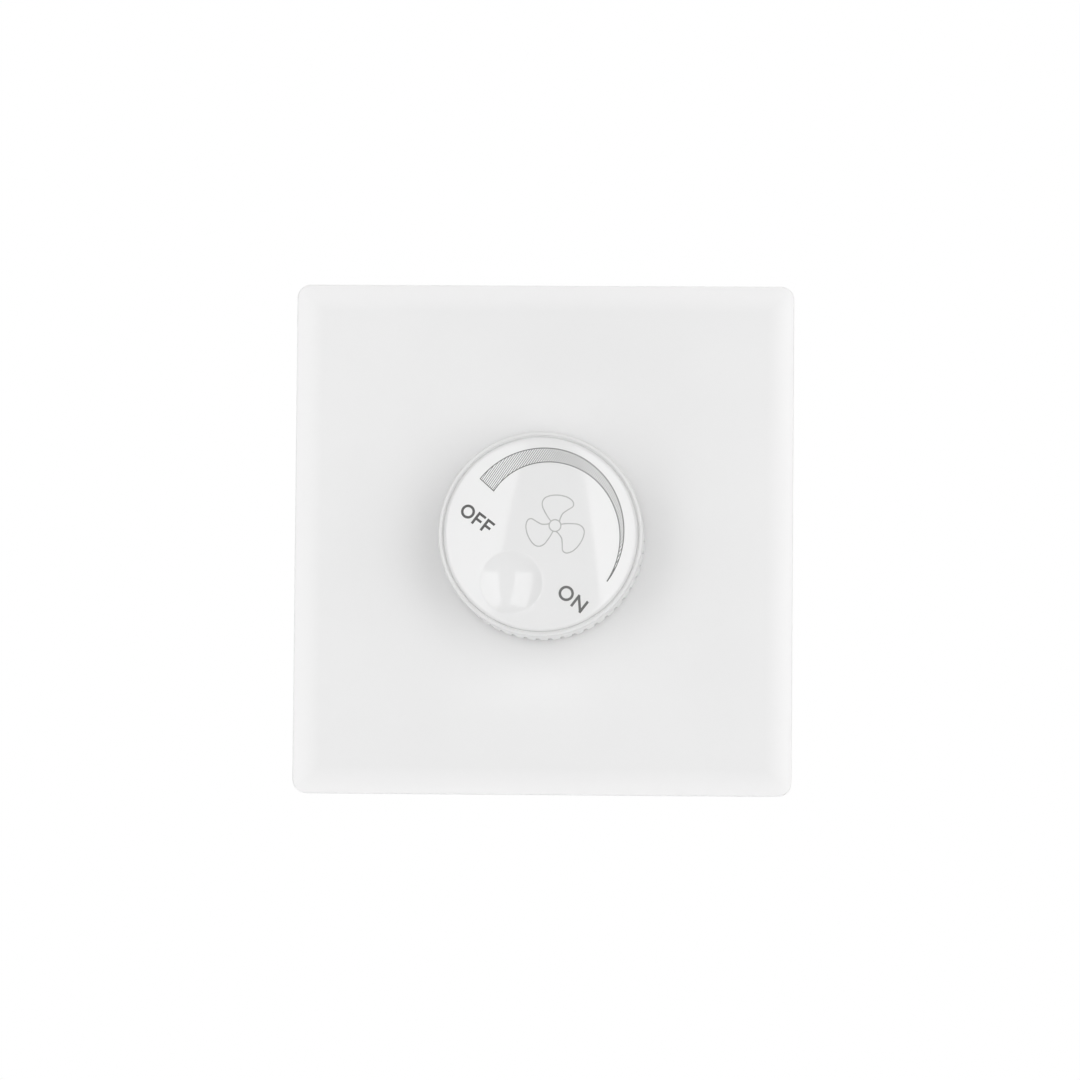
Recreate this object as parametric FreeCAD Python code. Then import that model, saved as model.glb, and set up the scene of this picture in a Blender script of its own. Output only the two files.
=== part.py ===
"""Wall-mounted fan speed control switch: a cover plate with a fluted rotary knob.

The frame has +Z up the wall, +X to the right and +Y into the wall, so the front looks along -Y.
The origin is the middle of the plane where the switch meets the wall.
Angles round the knob axis are clockwise from twelve o'clock, as seen from the front.
All lengths are in millimetres.
"""

import FreeCAD
import Part

import math
import os

# Cover plate
plate_width = 86.0
plate_height = 88.0
plate_depth = 8.0
plate_corner_radius = 2.3
plate_wall = 2.2
plate_face = 2.4
plate_edge_round = 0.4
border_width = 3.8
border_drop = 0.5
plate_hole_diameter = 17.0
plate_boss_wall = 4.0
plate_pad_diameter = 5.0
plate_pad_inset = 6.0
pry_notch_width = 9.0
pry_notch_depth = 1.0

# Snap hooks that hold the cover plate on the mounting frame
hook_spacing = 46.0
hook_width = 8.0
hook_reach = 0.8
hook_lead = 0.4
hook_catch = 1.7
hook_play = 0.15

# Mounting frame and its two slots for the wall box screws
frame_gap = 0.25
frame_setback = 1.2
frame_web = 2.2
frame_rim = 1.8
frame_corner_radius = 1.5
box_screw_spacing = 60.3
box_slot_width = 4.5
box_slot_length = 7.0
box_screw_pocket = 9.0
box_screw_pocket_depth = 1.8
slot_pad_height = 14.0
slot_pad_gap = 0.5
frame_rib_wall = 1.4
frame_rib_setback = 0.4
frame_rib_spacing = 36.0

# Rear housing
housing_width = 47.0
housing_height = 54.0
housing_wall = 1.8
housing_corner_radius = 3.0
housing_edge_round = 1.0
housing_headroom = 1.0
seat_rib_wall = 1.2
seat_rib_height = 2.0
vent_width = 2.0
vent_pitch = 4.5
rear_vent_count = 6
rear_vent_length = 18.0
rear_vent_z = 3.0
side_vent_count = 4
side_vent_length = 9.0
side_vent_lift = 8.0

# Screws that clamp the housing and the circuit board to the frame
corner_screw_diameter = 2.9
corner_screw_length = 10.0
corner_screw_head = 5.4
corner_screw_head_height = 2.0
corner_screw_spare = 1.0
screw_slot_width = 0.8
screw_slot_depth = 0.8
screw_head_chamfer = 0.6
boss_diameter = 6.4
post_wall = 1.4
post_floor = 1.9
post_well_gap = 0.3

# Knob
knob_diameter = 35.0
knob_gap = 0.4
knob_height = 14.0
knob_wall = 2.0
knob_ring_width = 0.6
knob_ring_round = 0.3
knob_groove_bevel = 0.15
knob_base_chamfer = 0.3
knob_recess = 1.6
knob_deck = 1.8
hub_diameter = 10.0
hub_gap = 0.5
hub_bore_rise = 0.5
knob_rib_count = 6
knob_rib_wall = 1.2
knob_rib_depth = 4.5
flute_count = 52
flute_floor = 0.5
flute_depth = 0.24
flute_flank_angle = 40.0
flute_length = 10.5

# Domed face that closes the knob, with a finger dimple
face_gap = 0.2
face_lift = 0.3
face_edge_round = 0.6
face_dome_radius = 90.0
dimple_diameter = 10.6
dimple_depth = 1.2
dimple_offset = 9.7
face_peg_count = 3
face_peg_diameter = 1.8
face_peg_length = 1.0
face_peg_offset = 11.0

# Switched potentiometer
knob_travel = 300.0
stop_angle = 180.0
stop_half_angle = 17.0
stop_play = 1.0
shaft_diameter = 6.0
shaft_flat = 1.5
shaft_end_gap = 0.3
bushing_diameter = 7.0
bushing_spare = 1.6
pot_diameter = 17.0
pot_front_thickness = 1.2
pot_can_depth = 5.5
pot_can_wall = 0.5
wafer_thickness = 1.2
wafer_hole_diameter = 7.0
wafer_tab_width = 14.0
wafer_tab_reach = 13.6
wafer_pin_inset = 1.4
rotor_diameter = 13.0
rotor_thickness = 1.8
rotor_back_gap = 0.6
rotor_gap = 0.3
wiper_thickness = 0.3
wiper_lift = 0.1
wiper_track_diameter = 10.0
wiper_width = 1.4
wiper_pad_diameter = 1.2
switch_depth = 4.7
switch_edge = 0.6
switch_foot = 0.6
pot_nut_flats = 10.0
pot_nut_thickness = 2.0
pot_washer_diameter = 11.0
pot_washer_thickness = 0.5
locating_tab_width = 2.6
locating_tab_thickness = 1.0
locating_tab_radius = 7.2
locating_tab_height = 1.6

# Circuit board and its leads
board_gap = 0.3
board_thickness = 1.6
board_edge = 0.8
lead_size = 0.8
lead_hole_diameter = 1.4
lead_stub = 0.6
pot_pin_pitch = 5.0
switch_pin_pitch = 5.0
switch_pin_z = 6.0

# Power triac on its folded heatsink
heatsink_side_gap = 1.0
heatsink_height = 16.4
heatsink_thickness = 1.8
heatsink_foot = 3.6
heatsink_bend = 0.8
triac_width = 10.0
triac_body_height = 9.2
triac_body_thickness = 3.2
triac_tab_thickness = 1.3
triac_tab_reach = 6.2
triac_standoff = 1.2
triac_lead_pitch = 2.54
triac_lead_width = 0.7
triac_lead_setback = 1.0
triac_screw_drop = 2.9
triac_screw_diameter = 2.9
triac_screw_head = 5.2
triac_screw_head_height = 2.0
triac_screw_spare = 0.6

# Interference choke, lying flat on the board
choke_z = -1.0
choke_outer_diameter = 14.0
choke_inner_diameter = 7.6
choke_height = 6.0
winding_build = 0.9
winding_gap_angle = 50.0
choke_lead_diameter = 0.8

# Boxed capacitors: width along X, depth along Z, height off the board, pitch of the leads
suppression_capacitor = {"z": -5.5, "width": 13.0, "depth": 6.2, "height": 12.0, "pitch": 10.0}
snubber_capacitor = {"z": 6.6, "width": 10.0, "depth": 4.0, "height": 8.5, "pitch": 7.5}
timing_capacitor = {"z": 12.0, "width": 7.2, "depth": 3.4, "height": 6.5, "pitch": 5.0}
capacitor_edge_round = 0.4

# Axial pieces: body diameter, body length, pitch of the leads
timing_resistor = {"z": 9.6, "diameter": 2.4, "length": 6.4, "pitch": 10.2}
snubber_resistor = {"z": 13.0, "diameter": 2.4, "length": 6.4, "pitch": 10.2}
diac = {"z": 10.6, "diameter": 1.8, "length": 3.8, "pitch": 7.6}
fuse = {"z": 0.8, "diameter": 3.6, "length": 9.4, "pitch": 13.0}
axial_lift = 0.2
axial_lead_size = 0.6

# Screw terminals for the two supply wires
terminal_width = 8.2
terminal_height = 12.2
terminal_length = 10.0
terminal_wall = 1.1
terminal_mouth_wall = 3.0
terminal_back_wall = 1.4
terminal_gap = 0.2
terminal_floor = 1.2
wire_bore_diameter = 4.0
wire_bore_lift = 3.6
clamp_gap = 0.15
clamp_height = 7.6
clamp_bore_diameter = 3.6
terminal_screw_diameter = 2.9
terminal_screw_head = 3.8
terminal_screw_head_height = 1.6
terminal_well_gap = 0.3
screw_tip_gap = 0.2

# General clearances
fit_clearance = 0.1
shaft_clearance = 0.05
press_clearance = 0.02

# Places along Y that follow from the sizes above
plate_front = -plate_depth
plate_inside = plate_front + plate_face
web_front = plate_inside + frame_setback
web_back = web_front + frame_web
wafer_front = web_back + pot_front_thickness
wafer_back = wafer_front + wafer_thickness
pot_back = wafer_front + pot_can_depth
rotor_back = pot_back - rotor_back_gap
rotor_front = rotor_back - rotor_thickness
board_front = pot_back + switch_depth + switch_foot
board_back = board_front + board_thickness
triac_foot = board_back + triac_standoff
triac_top = triac_foot + triac_body_height + triac_tab_reach
triac_screw_y = triac_top - triac_screw_drop
housing_inside = max(triac_top, board_back + heatsink_height) + housing_headroom
housing_back = housing_inside + housing_wall
terminal_back = board_back + terminal_height
step_inside = terminal_back + terminal_gap
step_back = step_inside + housing_wall
side_vent_y = board_back + side_vent_lift
post_seat = board_back + post_floor
wire_bore_y = board_back + wire_bore_lift
clamp_top = board_back + clamp_height
terminal_floor_front = clamp_top + clamp_gap
terminal_floor_back = terminal_floor_front + terminal_floor
terminal_screw_tip = wire_bore_y + clamp_bore_diameter / 2 + screw_tip_gap
washer_front = web_front - pot_washer_thickness
nut_front = washer_front - pot_nut_thickness
bushing_end = nut_front - bushing_spare
knob_base = plate_front - knob_gap
knob_top = knob_base - knob_height
knob_seat = knob_top + knob_recess
knob_underside = knob_seat + knob_deck
hub_end = bushing_end - hub_gap
hub_bore_end = knob_underside - hub_bore_rise
shaft_end = hub_bore_end + shaft_end_gap

# Places across the wall plane
frame_width = plate_width - 2 * (plate_wall + frame_gap)
frame_height = plate_height - 2 * (plate_wall + frame_gap)
inside_width = housing_width - 2 * housing_wall
inside_height = housing_height - 2 * housing_wall
board_width = inside_width - 2 * board_gap
board_height = inside_height - 2 * board_gap
boss_x = inside_width / 2 - boss_diameter / 2 - fit_clearance
boss_z = inside_height / 2 - boss_diameter / 2 - fit_clearance
screw_hole_diameter = corner_screw_diameter + 4 * fit_clearance
well_diameter = corner_screw_head + 2 * post_well_gap
post_diameter = well_diameter + 2 * post_wall
heatsink_width = 2 * (boss_x - post_diameter / 2 - heatsink_side_gap)
heatsink_z = board_height / 2 - board_edge - heatsink_foot
triac_lead_z = heatsink_z - triac_tab_thickness - triac_lead_setback
terminal_mouth_z = -housing_height / 2
terminal_top_z = terminal_mouth_z + terminal_length
terminal_centre_z = terminal_mouth_z + terminal_length / 2
step_z = terminal_top_z + terminal_gap
pocket_width = terminal_width - 2 * terminal_wall
pocket_length = terminal_length - terminal_mouth_wall - terminal_back_wall
pocket_z = terminal_mouth_z + terminal_mouth_wall + pocket_length / 2
terminal_well_diameter = terminal_screw_head + 2 * terminal_well_gap
winding_outer_diameter = choke_outer_diameter + 2 * winding_build
winding_inner_diameter = choke_inner_diameter - 2 * winding_build
choke_x = -(board_width / 2 - board_edge - winding_outer_diameter / 2)
choke_lead_radius = winding_outer_diameter / 2 - winding_build / 2
pot_pin_z = -(wafer_tab_reach - wafer_pin_inset)
pot_pin_places = (-pot_pin_pitch, 0, pot_pin_pitch)
can_inner_diameter = pot_diameter - 2 * pot_can_wall
groove_radius = knob_diameter / 2 - knob_ring_width
face_radius = groove_radius - face_gap
face_rise = face_dome_radius - math.sqrt(face_dome_radius**2 - face_radius**2)
rest_angle = stop_angle + (360 - knob_travel) / 2
lug_half_angle = (360 - knob_travel) / 2 - stop_half_angle - stop_play


def clockwise(shape, angle):
    """The shape turned about the knob axis."""
    return shape.rotated(FreeCAD.Vector(0, 0, 0), FreeCAD.Vector(0, 1, 0), angle)


def slab(width, height, front, back, x=0.0, z=0.0):
    """A block centred at x, z, from front to back along Y."""
    corner = FreeCAD.Vector(x - width / 2, front, z - height / 2)
    return Part.makeBox(width, back - front, height, corner)


def edges_along_y(solid):
    """The straight edges of a solid that run from front to back."""
    found = []
    for edge in solid.Edges:
        ends = [vertex.Point for vertex in edge.Vertexes]
        if len(ends) == 2 and abs(abs(ends[1].y - ends[0].y) - edge.Length) < 1e-6:
            found.append(edge)
    return found


def edges_at_y(solid, y):
    """The edges of a solid that lie wholly at this place along Y."""
    return [edge for edge in solid.Edges if abs(edge.BoundBox.YMin - y) + abs(edge.BoundBox.YMax - y) < 1e-5]


def round_slab(width, height, radius, front, back, x=0.0, z=0.0):
    """A block whose four corners are rounded in the wall plane."""
    block = slab(width, height, front, back, x, z)
    return block.makeFillet(radius, edges_along_y(block))


def rod(diameter, front, back, x=0.0, z=0.0):
    """A round bar along Y."""
    start = FreeCAD.Vector(x, front, z)
    return Part.makeCylinder(diameter / 2, back - front, start, FreeCAD.Vector(0, 1, 0))


def ring(outer, inner, front, back, x=0.0, z=0.0):
    """A round tube along Y."""
    return rod(outer, front, back, x, z).cut(rod(inner, front, back, x, z))


def slot(width, length, front, back, x=0.0, z=0.0):
    """A bar with two round ends, lying along X."""
    reach = (length - width) / 2
    ends = [rod(width, front, back, x - reach, z), rod(width, front, back, x + reach, z)]
    return fused(slab(2 * reach, width, front, back, x, z), ends)


def polygon_bar(sides, across_flats, front, back, x=0.0, z=0.0):
    """A bar along Y with flat sides, one corner at twelve o'clock."""
    reach = across_flats / (2 * math.cos(math.pi / sides))
    points = []
    for index in range(sides):
        angle = 2 * math.pi * index / sides
        points.append(FreeCAD.Vector(x + reach * math.sin(angle), front, z + reach * math.cos(angle)))
    return face_of(points).extrude(FreeCAD.Vector(0, back - front, 0))


def face_of(points):
    """A flat face with straight sides."""
    return Part.Face(Part.makePolygon(points + points[:1]))


def turned(points, angle=360.0):
    """A solid of revolution about the Y axis from (radius, y) corners, from twelve o'clock on."""
    face = face_of([FreeCAD.Vector(0, y, radius) for radius, y in points])
    return face.revolve(FreeCAD.Vector(0, 0, 0), FreeCAD.Vector(0, 1, 0), angle)


def arc_block(inner, outer, half_angle, front, back, middle_angle):
    """A part of a ring between two radii, as wide as twice half_angle."""
    profile = [(inner, front), (outer, front), (outer, back), (inner, back)]
    return clockwise(turned(profile, 2 * half_angle), middle_angle - half_angle)


def circles_at(solid, radius, y):
    """The round edges of a solid about the Y axis, of this radius and at this place."""
    found = []
    for edge in solid.Edges:
        if edge.Degenerated or not isinstance(edge.Curve, Part.Circle):
            continue
        if abs(edge.Curve.Radius - radius) < 1e-6 and abs(edge.Curve.Center.y - y) < 1e-6:
            found.append(edge)
    return found


def d_bar(diameter, flat, front, back, angle):
    """A bar along Y with one flat that faces the given angle."""
    shave = slab(diameter, flat, front, back, 0, diameter / 2 - flat / 2)
    return clockwise(rod(diameter, front, back).cut(shave), angle)


def corners(x, z):
    """The four places at plus and minus x and z."""
    return [(i * x, k * z) for i in (-1, 1) for k in (-1, 1)]


def pair(x, z, pitch):
    """Two lead places along X."""
    return [(x - pitch / 2, z), (x + pitch / 2, z)]


def lead(x, z, front, back):
    """A square pin along Y."""
    return slab(lead_size, lead_size, front, back, x, z)


def right_of_board(width):
    """The middle of a piece that stands at the right edge of the board."""
    return board_width / 2 - board_edge - width / 2


def fused(first, others):
    """One solid made of several that meet."""
    return first.fuse(others).removeSplitter()


# Front plate


def border_bar(width, length):
    """A long bar with the plate's front section: a flat field that falls away at both sides."""
    edge = -(plate_depth - border_drop)
    radius = (border_width**2 + border_drop**2) / (2 * border_drop)
    half_turn = math.asin(border_width / radius) / 2
    points = []
    for side in (-1, 1):
        outer = FreeCAD.Vector(side * width / 2, edge, 0)
        inner = FreeCAD.Vector(side * (width / 2 - border_width), plate_front, 0)
        middle = FreeCAD.Vector(
            inner.x + side * radius * math.sin(half_turn),
            plate_front + radius * (1 - math.cos(half_turn)),
            0,
        )
        points.append((outer, middle, inner))
    left, right = points
    foot_left = FreeCAD.Vector(-width / 2, 0, 0)
    foot_right = FreeCAD.Vector(width / 2, 0, 0)
    outline = [
        Part.LineSegment(foot_left, left[0]).toShape(),
        Part.Arc(left[0], left[1], left[2]).toShape(),
        Part.LineSegment(left[2], right[2]).toShape(),
        Part.Arc(right[2], right[1], right[0]).toShape(),
        Part.LineSegment(right[0], foot_right).toShape(),
        Part.LineSegment(foot_right, foot_left).toShape(),
    ]
    bar = Part.Face(Part.Wire(outline)).extrude(FreeCAD.Vector(0, 0, length))
    return bar.translated(FreeCAD.Vector(0, 0, -length / 2))


def plate_hook(side):
    """One snap hook on the inside of the top or bottom wall of the plate."""
    wall = side * (plate_height / 2 - plate_wall)
    inward = wall - side * hook_reach
    root = wall + side * plate_wall / 2
    profile = [
        FreeCAD.Vector(0, -hook_catch, root),
        FreeCAD.Vector(0, -hook_catch, inward),
        FreeCAD.Vector(0, -hook_catch + hook_reach / 2, inward),
        FreeCAD.Vector(0, -hook_lead, wall),
        FreeCAD.Vector(0, -hook_lead, root),
    ]
    return face_of(profile).extrude(FreeCAD.Vector(hook_width, 0, 0))


def on_front_rim(edge):
    """Whether an edge runs along the outline of the plate, at the front."""
    middle = edge.valueAt((edge.FirstParameter + edge.LastParameter) / 2)
    across = max(abs(middle.x) - plate_width / 2 + plate_corner_radius, 0)
    up = max(abs(middle.z) - plate_height / 2 + plate_corner_radius, 0)
    at_front = edge.BoundBox.YMax < plate_front + 2 * border_drop
    return at_front and abs(math.hypot(across, up) - plate_corner_radius) < 1e-3


def make_front_plate():
    across = border_bar(plate_width, plate_height)
    upright = clockwise(border_bar(plate_height, plate_width), 90)
    outline = round_slab(plate_width, plate_height, plate_corner_radius, plate_front, 0)
    plate = outline.common(across).common(upright)
    rim = [edge for edge in plate.Edges if on_front_rim(edge)]
    plate = plate.makeFillet(min(plate_edge_round, 0.8 * border_drop), rim)
    pocket_round = max(plate_corner_radius - plate_wall, fit_clearance)
    pocket = round_slab(
        plate_width - 2 * plate_wall, plate_height - 2 * plate_wall, pocket_round, plate_inside, 0
    )
    plate = plate.cut(pocket)
    boss_outer = plate_hole_diameter + 2 * plate_boss_wall
    additions = [rod(boss_outer, plate_inside, web_front)]
    pad_x = frame_width / 2 - plate_pad_inset
    pad_z = frame_height / 2 - plate_pad_inset
    for x, z in corners(pad_x, pad_z):
        additions.append(rod(plate_pad_diameter, plate_inside, web_front, x, z))
    for x in (-hook_spacing / 2, hook_spacing / 2):
        for side in (-1, 1):
            hook = plate_hook(side).translated(FreeCAD.Vector(x - hook_width / 2, 0, 0))
            additions.append(hook)
    plate = fused(plate, additions)
    plate = plate.cut(rod(plate_hole_diameter, plate_front, web_front))
    notch_z = -(plate_height / 2 - plate_wall / 2)
    return plate.cut(slab(pry_notch_width, plate_wall, -pry_notch_depth, 0, 0, notch_z))


# Mounting frame


def make_mounting_frame():
    frame = round_slab(frame_width, frame_height, frame_corner_radius, web_front, 0)
    hollow_round = max(frame_corner_radius - frame_rim, fit_clearance)
    hollow = round_slab(
        frame_width - 2 * frame_rim, frame_height - 2 * frame_rim, hollow_round, web_back, 0
    )
    frame = frame.cut(hollow)
    pad_inner = housing_width / 2 + slot_pad_gap
    pad_outer = frame_width / 2 - frame_rim / 2
    additions = []
    for side in (-1, 1):
        pad_x = side * (pad_inner + pad_outer) / 2
        additions.append(slab(pad_outer - pad_inner, slot_pad_height, web_back, 0, pad_x))
    rib_inner = housing_height / 2 + slot_pad_gap
    rib_outer = frame_height / 2 - frame_rim / 2
    rib_end = -frame_rib_setback
    for side in (-1, 1):
        pad_x = side * (pad_inner + pad_outer) / 2
        rib_z = side * (rib_inner + rib_outer) / 2
        for along in (-frame_rib_spacing / 2, frame_rib_spacing / 2):
            additions.append(slab(pad_outer - pad_inner, frame_rib_wall, web_back, rib_end, pad_x, along))
            additions.append(slab(frame_rib_wall, rib_outer - rib_inner, web_back, rib_end, along, rib_z))
    rib_width = inside_width - 2 * fit_clearance
    rib_height = inside_height - 2 * fit_clearance
    rib_back = web_back + seat_rib_height
    rib_outside = slab(rib_width, rib_height, web_back, rib_back)
    rib_inside = slab(rib_width - 2 * seat_rib_wall, rib_height - 2 * seat_rib_wall, web_back, rib_back)
    rib_corner = max(housing_corner_radius - housing_wall, fit_clearance)
    rib_limit = round_slab(rib_width, rib_height, rib_corner, web_back, board_front)
    additions.append(rib_outside.cut(rib_inside).common(rib_limit))
    for x, z in corners(boss_x, boss_z):
        additions.append(rod(boss_diameter, web_back, board_front, x, z).common(rib_limit))
    frame = fused(frame, additions)
    cuts = [rod(bushing_diameter + 2 * fit_clearance, web_front, web_back)]
    tab_hole = locating_tab_thickness + 2 * fit_clearance
    tab_length = locating_tab_width + 2 * fit_clearance
    cuts.append(slab(tab_hole, tab_length, web_front, web_back, -locating_tab_radius))
    pocket_length = box_slot_length + box_screw_pocket - box_slot_width
    pocket_floor = web_front + box_screw_pocket_depth
    for x in (-box_screw_spacing / 2, box_screw_spacing / 2):
        cuts.append(slot(box_slot_width, box_slot_length, web_front, 0, x))
        cuts.append(slot(box_screw_pocket, pocket_length, web_front, pocket_floor, x))
    notch_width = hook_width + 2 * hook_play
    notch_depth = hook_reach + hook_play - frame_gap
    for x in (-hook_spacing / 2, hook_spacing / 2):
        for side in (-1, 1):
            notch_z = side * (frame_height / 2 - notch_depth / 2)
            cuts.append(slab(notch_width, notch_depth, -hook_catch - hook_play, 0, x, notch_z))
    pilot = corner_screw_diameter + 2 * shaft_clearance
    pilot_front = post_seat - corner_screw_length - corner_screw_spare
    for x, z in corners(boss_x, boss_z):
        cuts.append(rod(pilot, pilot_front, board_front, x, z))
    return frame.cut(cuts)


# Rear housing


def make_rear_housing():
    outside = round_slab(housing_width, housing_height, housing_corner_radius, web_back, housing_back)
    step_height = step_z + housing_height / 2
    step = slab(
        2 * housing_width, 2 * step_height, step_back, 2 * housing_back, 0, -housing_height / 2
    )
    outside = outside.cut(step)
    rounded = edges_at_y(outside, housing_back)
    for edge in edges_at_y(outside, step_back):
        if edge.BoundBox.ZMin < step_z - fit_clearance:
            rounded.append(edge)
    outside = outside.makeFillet(housing_edge_round, rounded)
    inside_round = max(housing_corner_radius - housing_wall, fit_clearance)
    inside = round_slab(inside_width, inside_height, inside_round, web_back, housing_inside)
    inner_height = 2 * (step_height + housing_wall)
    inner_step = slab(2 * housing_width, inner_height, step_inside, 2 * housing_back, 0, -housing_height / 2)
    inside = inside.cut(inner_step)
    housing = outside.cut(inside)
    posts = []
    for x, z in corners(boss_x, boss_z):
        posts.append(rod(post_diameter, board_back, housing_back, x, z).common(outside))
    housing = fused(housing, posts)
    cuts = []
    for x, z in corners(boss_x, boss_z):
        cuts.append(rod(well_diameter, post_seat, housing_back, x, z))
        cuts.append(rod(screw_hole_diameter, board_back, post_seat, x, z))
    window_width = 2 * terminal_width + 2 * terminal_gap
    cuts.append(
        slab(window_width, 4 * housing_wall, board_front, step_inside, 0, terminal_mouth_z)
    )
    for x, _ in pair(0, 0, terminal_width):
        cuts.append(rod(terminal_well_diameter, step_inside, step_back, x, pocket_z))
    middle = (rear_vent_count - 1) / 2
    for index in range(rear_vent_count):
        x = (index - middle) * vent_pitch
        cuts.append(slab(vent_width, rear_vent_length, housing_inside, housing_back, x, rear_vent_z))
    middle = (side_vent_count - 1) / 2
    for index in range(side_vent_count):
        along = (index - middle) * vent_pitch
        front = side_vent_y - side_vent_length / 2
        back = side_vent_y + side_vent_length / 2
        cuts.append(slab(vent_width, 2 * housing_wall, front, back, along, housing_height / 2))
        for side in (-1, 1):
            cuts.append(slab(2 * housing_wall, vent_width, front, back, side * housing_width / 2, along))
    return housing.cut(cuts)


def pan_screw(diameter, head, head_height, seat, tip, x, z):
    """A slotted pan-head screw along Y: its head is behind the seat, its tip in front."""
    shank = rod(diameter, tip, seat, x, z)
    cap = rod(head, seat, seat + head_height, x, z)
    cap = cap.makeChamfer(screw_head_chamfer, edges_at_y(cap, seat + head_height))
    groove = slab(head, screw_slot_width, seat + head_height - screw_slot_depth, seat + head_height, x, z)
    return fused(shank, [cap]).cut(groove)


def make_housing_screws():
    tip = post_seat - corner_screw_length
    return [
        pan_screw(corner_screw_diameter, corner_screw_head, corner_screw_head_height, post_seat, tip, x, z)
        for x, z in corners(boss_x, boss_z)
    ]


# Knob


def flute_cutter(radius):
    """A bar with sloping flanks that cuts one flute: deepest at the base, it runs out towards the top."""
    reach = 2 * flute_depth
    spread = reach * math.tan(math.radians(flute_flank_angle))
    floor = radius - flute_depth
    slope = FreeCAD.Vector(0, -flute_length, flute_depth)
    section = face_of([
        FreeCAD.Vector(-flute_floor / 2, knob_base, floor),
        FreeCAD.Vector(flute_floor / 2, knob_base, floor),
        FreeCAD.Vector(flute_floor / 2 + spread, knob_base, floor + reach),
        FreeCAD.Vector(-flute_floor / 2 - spread, knob_base, floor + reach),
    ])
    return section.extrude(slope)


def make_knob_body():
    radius = knob_diameter / 2
    body = turned([
        (radius - knob_base_chamfer, knob_base),
        (radius, knob_base - knob_base_chamfer),
        (radius, knob_top),
        (groove_radius, knob_top),
        (groove_radius, knob_seat),
        (0, knob_seat),
        (0, knob_underside),
        (radius - knob_wall, knob_underside),
        (radius - knob_wall, knob_base),
    ])
    body = body.makeFillet(min(knob_ring_round, 0.5 * knob_ring_width), circles_at(body, radius, knob_top))
    bevel = min(knob_groove_bevel, 0.3 * knob_ring_width)
    body = body.makeChamfer(bevel, circles_at(body, groove_radius, knob_top))
    inner = radius - knob_wall / 2
    additions = [rod(hub_diameter, knob_underside - knob_deck / 2, hub_end)]
    rib_end = min(knob_underside + knob_rib_depth, knob_base)
    for index in range(knob_rib_count):
        rib = slab(knob_rib_wall, inner, knob_underside - knob_deck / 2, rib_end, 0, inner / 2)
        additions.append(clockwise(rib, rest_angle + (index + 0.5) * 360 / knob_rib_count))
    body = fused(body, additions)
    flute = flute_cutter(radius)
    cuts = [clockwise(flute, rest_angle + index * 360 / flute_count) for index in range(flute_count)]
    bore = shaft_diameter + 2 * shaft_clearance
    cuts.append(d_bar(bore, shaft_flat, hub_bore_end, hub_end, rest_angle))
    for index in range(face_peg_count):
        peg_hole = rod(
            face_peg_diameter + 2 * shaft_clearance, knob_seat, knob_underside, 0, face_peg_offset
        )
        cuts.append(clockwise(peg_hole, rest_angle + 180 + index * 360 / face_peg_count))
    return body.cut(cuts)


def on_circle(centre, radius, angle):
    """A point of the turned profile, its angle counted from the front towards the rim."""
    return FreeCAD.Vector(0, centre.y - radius * math.cos(angle), centre.z + radius * math.sin(angle))


def make_knob_face():
    crown_y = knob_top - face_lift - face_rise
    dome = FreeCAD.Vector(0, crown_y + face_dome_radius, 0)
    edge_turn = math.asin((face_radius - face_edge_round) / (face_dome_radius - face_edge_round))
    edge = on_circle(dome, face_dome_radius - face_edge_round, edge_turn)
    crown = on_circle(dome, face_dome_radius, 0)
    shoulder = on_circle(dome, face_dome_radius, edge_turn)
    side = on_circle(edge, face_edge_round, math.pi / 2)
    foot = FreeCAD.Vector(0, knob_seat, face_radius)
    centre = FreeCAD.Vector(0, knob_seat, 0)
    outline = [
        Part.Arc(crown, on_circle(dome, face_dome_radius, edge_turn / 2), shoulder).toShape(),
        Part.Arc(shoulder, on_circle(edge, face_edge_round, edge_turn / 2 + math.pi / 4), side).toShape(),
        Part.makePolygon([side, foot, centre, crown]),
    ]
    profile = Part.Face(Part.Wire([item for shape in outline for item in shape.Edges]))
    face = profile.revolve(FreeCAD.Vector(0, 0, 0), FreeCAD.Vector(0, 1, 0), 360)
    half = dimple_diameter / 2
    dish_radius = (half**2 + dimple_depth**2) / (2 * dimple_depth)
    reach = math.sqrt(face_dome_radius**2 - half**2) + dish_radius - dimple_depth
    dish_centre = on_circle(dome, reach, math.asin(dimple_offset / face_dome_radius))
    dish = clockwise(Part.makeSphere(dish_radius, dish_centre, FreeCAD.Vector(0, 1, 0)), rest_angle)
    face = face.cut(dish)
    pegs = []
    for index in range(face_peg_count):
        peg_end = knob_seat + face_peg_length
        peg = rod(face_peg_diameter, knob_seat - fit_clearance, peg_end, 0, face_peg_offset)
        pegs.append(clockwise(peg, rest_angle + 180 + index * 360 / face_peg_count))
    return fused(face, pegs)


# Switched potentiometer


def make_pot_bushing():
    plate = rod(pot_diameter, web_back, wafer_front)
    neck = rod(bushing_diameter, bushing_end, web_back)
    tab_front = web_back - locating_tab_height
    tab = slab(locating_tab_thickness, locating_tab_width, tab_front, web_back, -locating_tab_radius)
    bushing = fused(plate, [neck, tab])
    return bushing.cut(rod(shaft_diameter + 2 * shaft_clearance, bushing_end, wafer_front))


def make_pot_washer():
    return ring(pot_washer_diameter, bushing_diameter + 2 * fit_clearance, washer_front, web_front)


def make_pot_nut():
    nut = polygon_bar(6, pot_nut_flats, nut_front, washer_front)
    return nut.cut(rod(bushing_diameter + 2 * shaft_clearance, nut_front, washer_front))


def make_pot_shaft():
    round_part = rod(shaft_diameter, hub_end, rotor_back)
    flat_part = d_bar(shaft_diameter, shaft_flat, shaft_end, hub_end, rest_angle)
    return fused(round_part, [flat_part])


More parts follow.
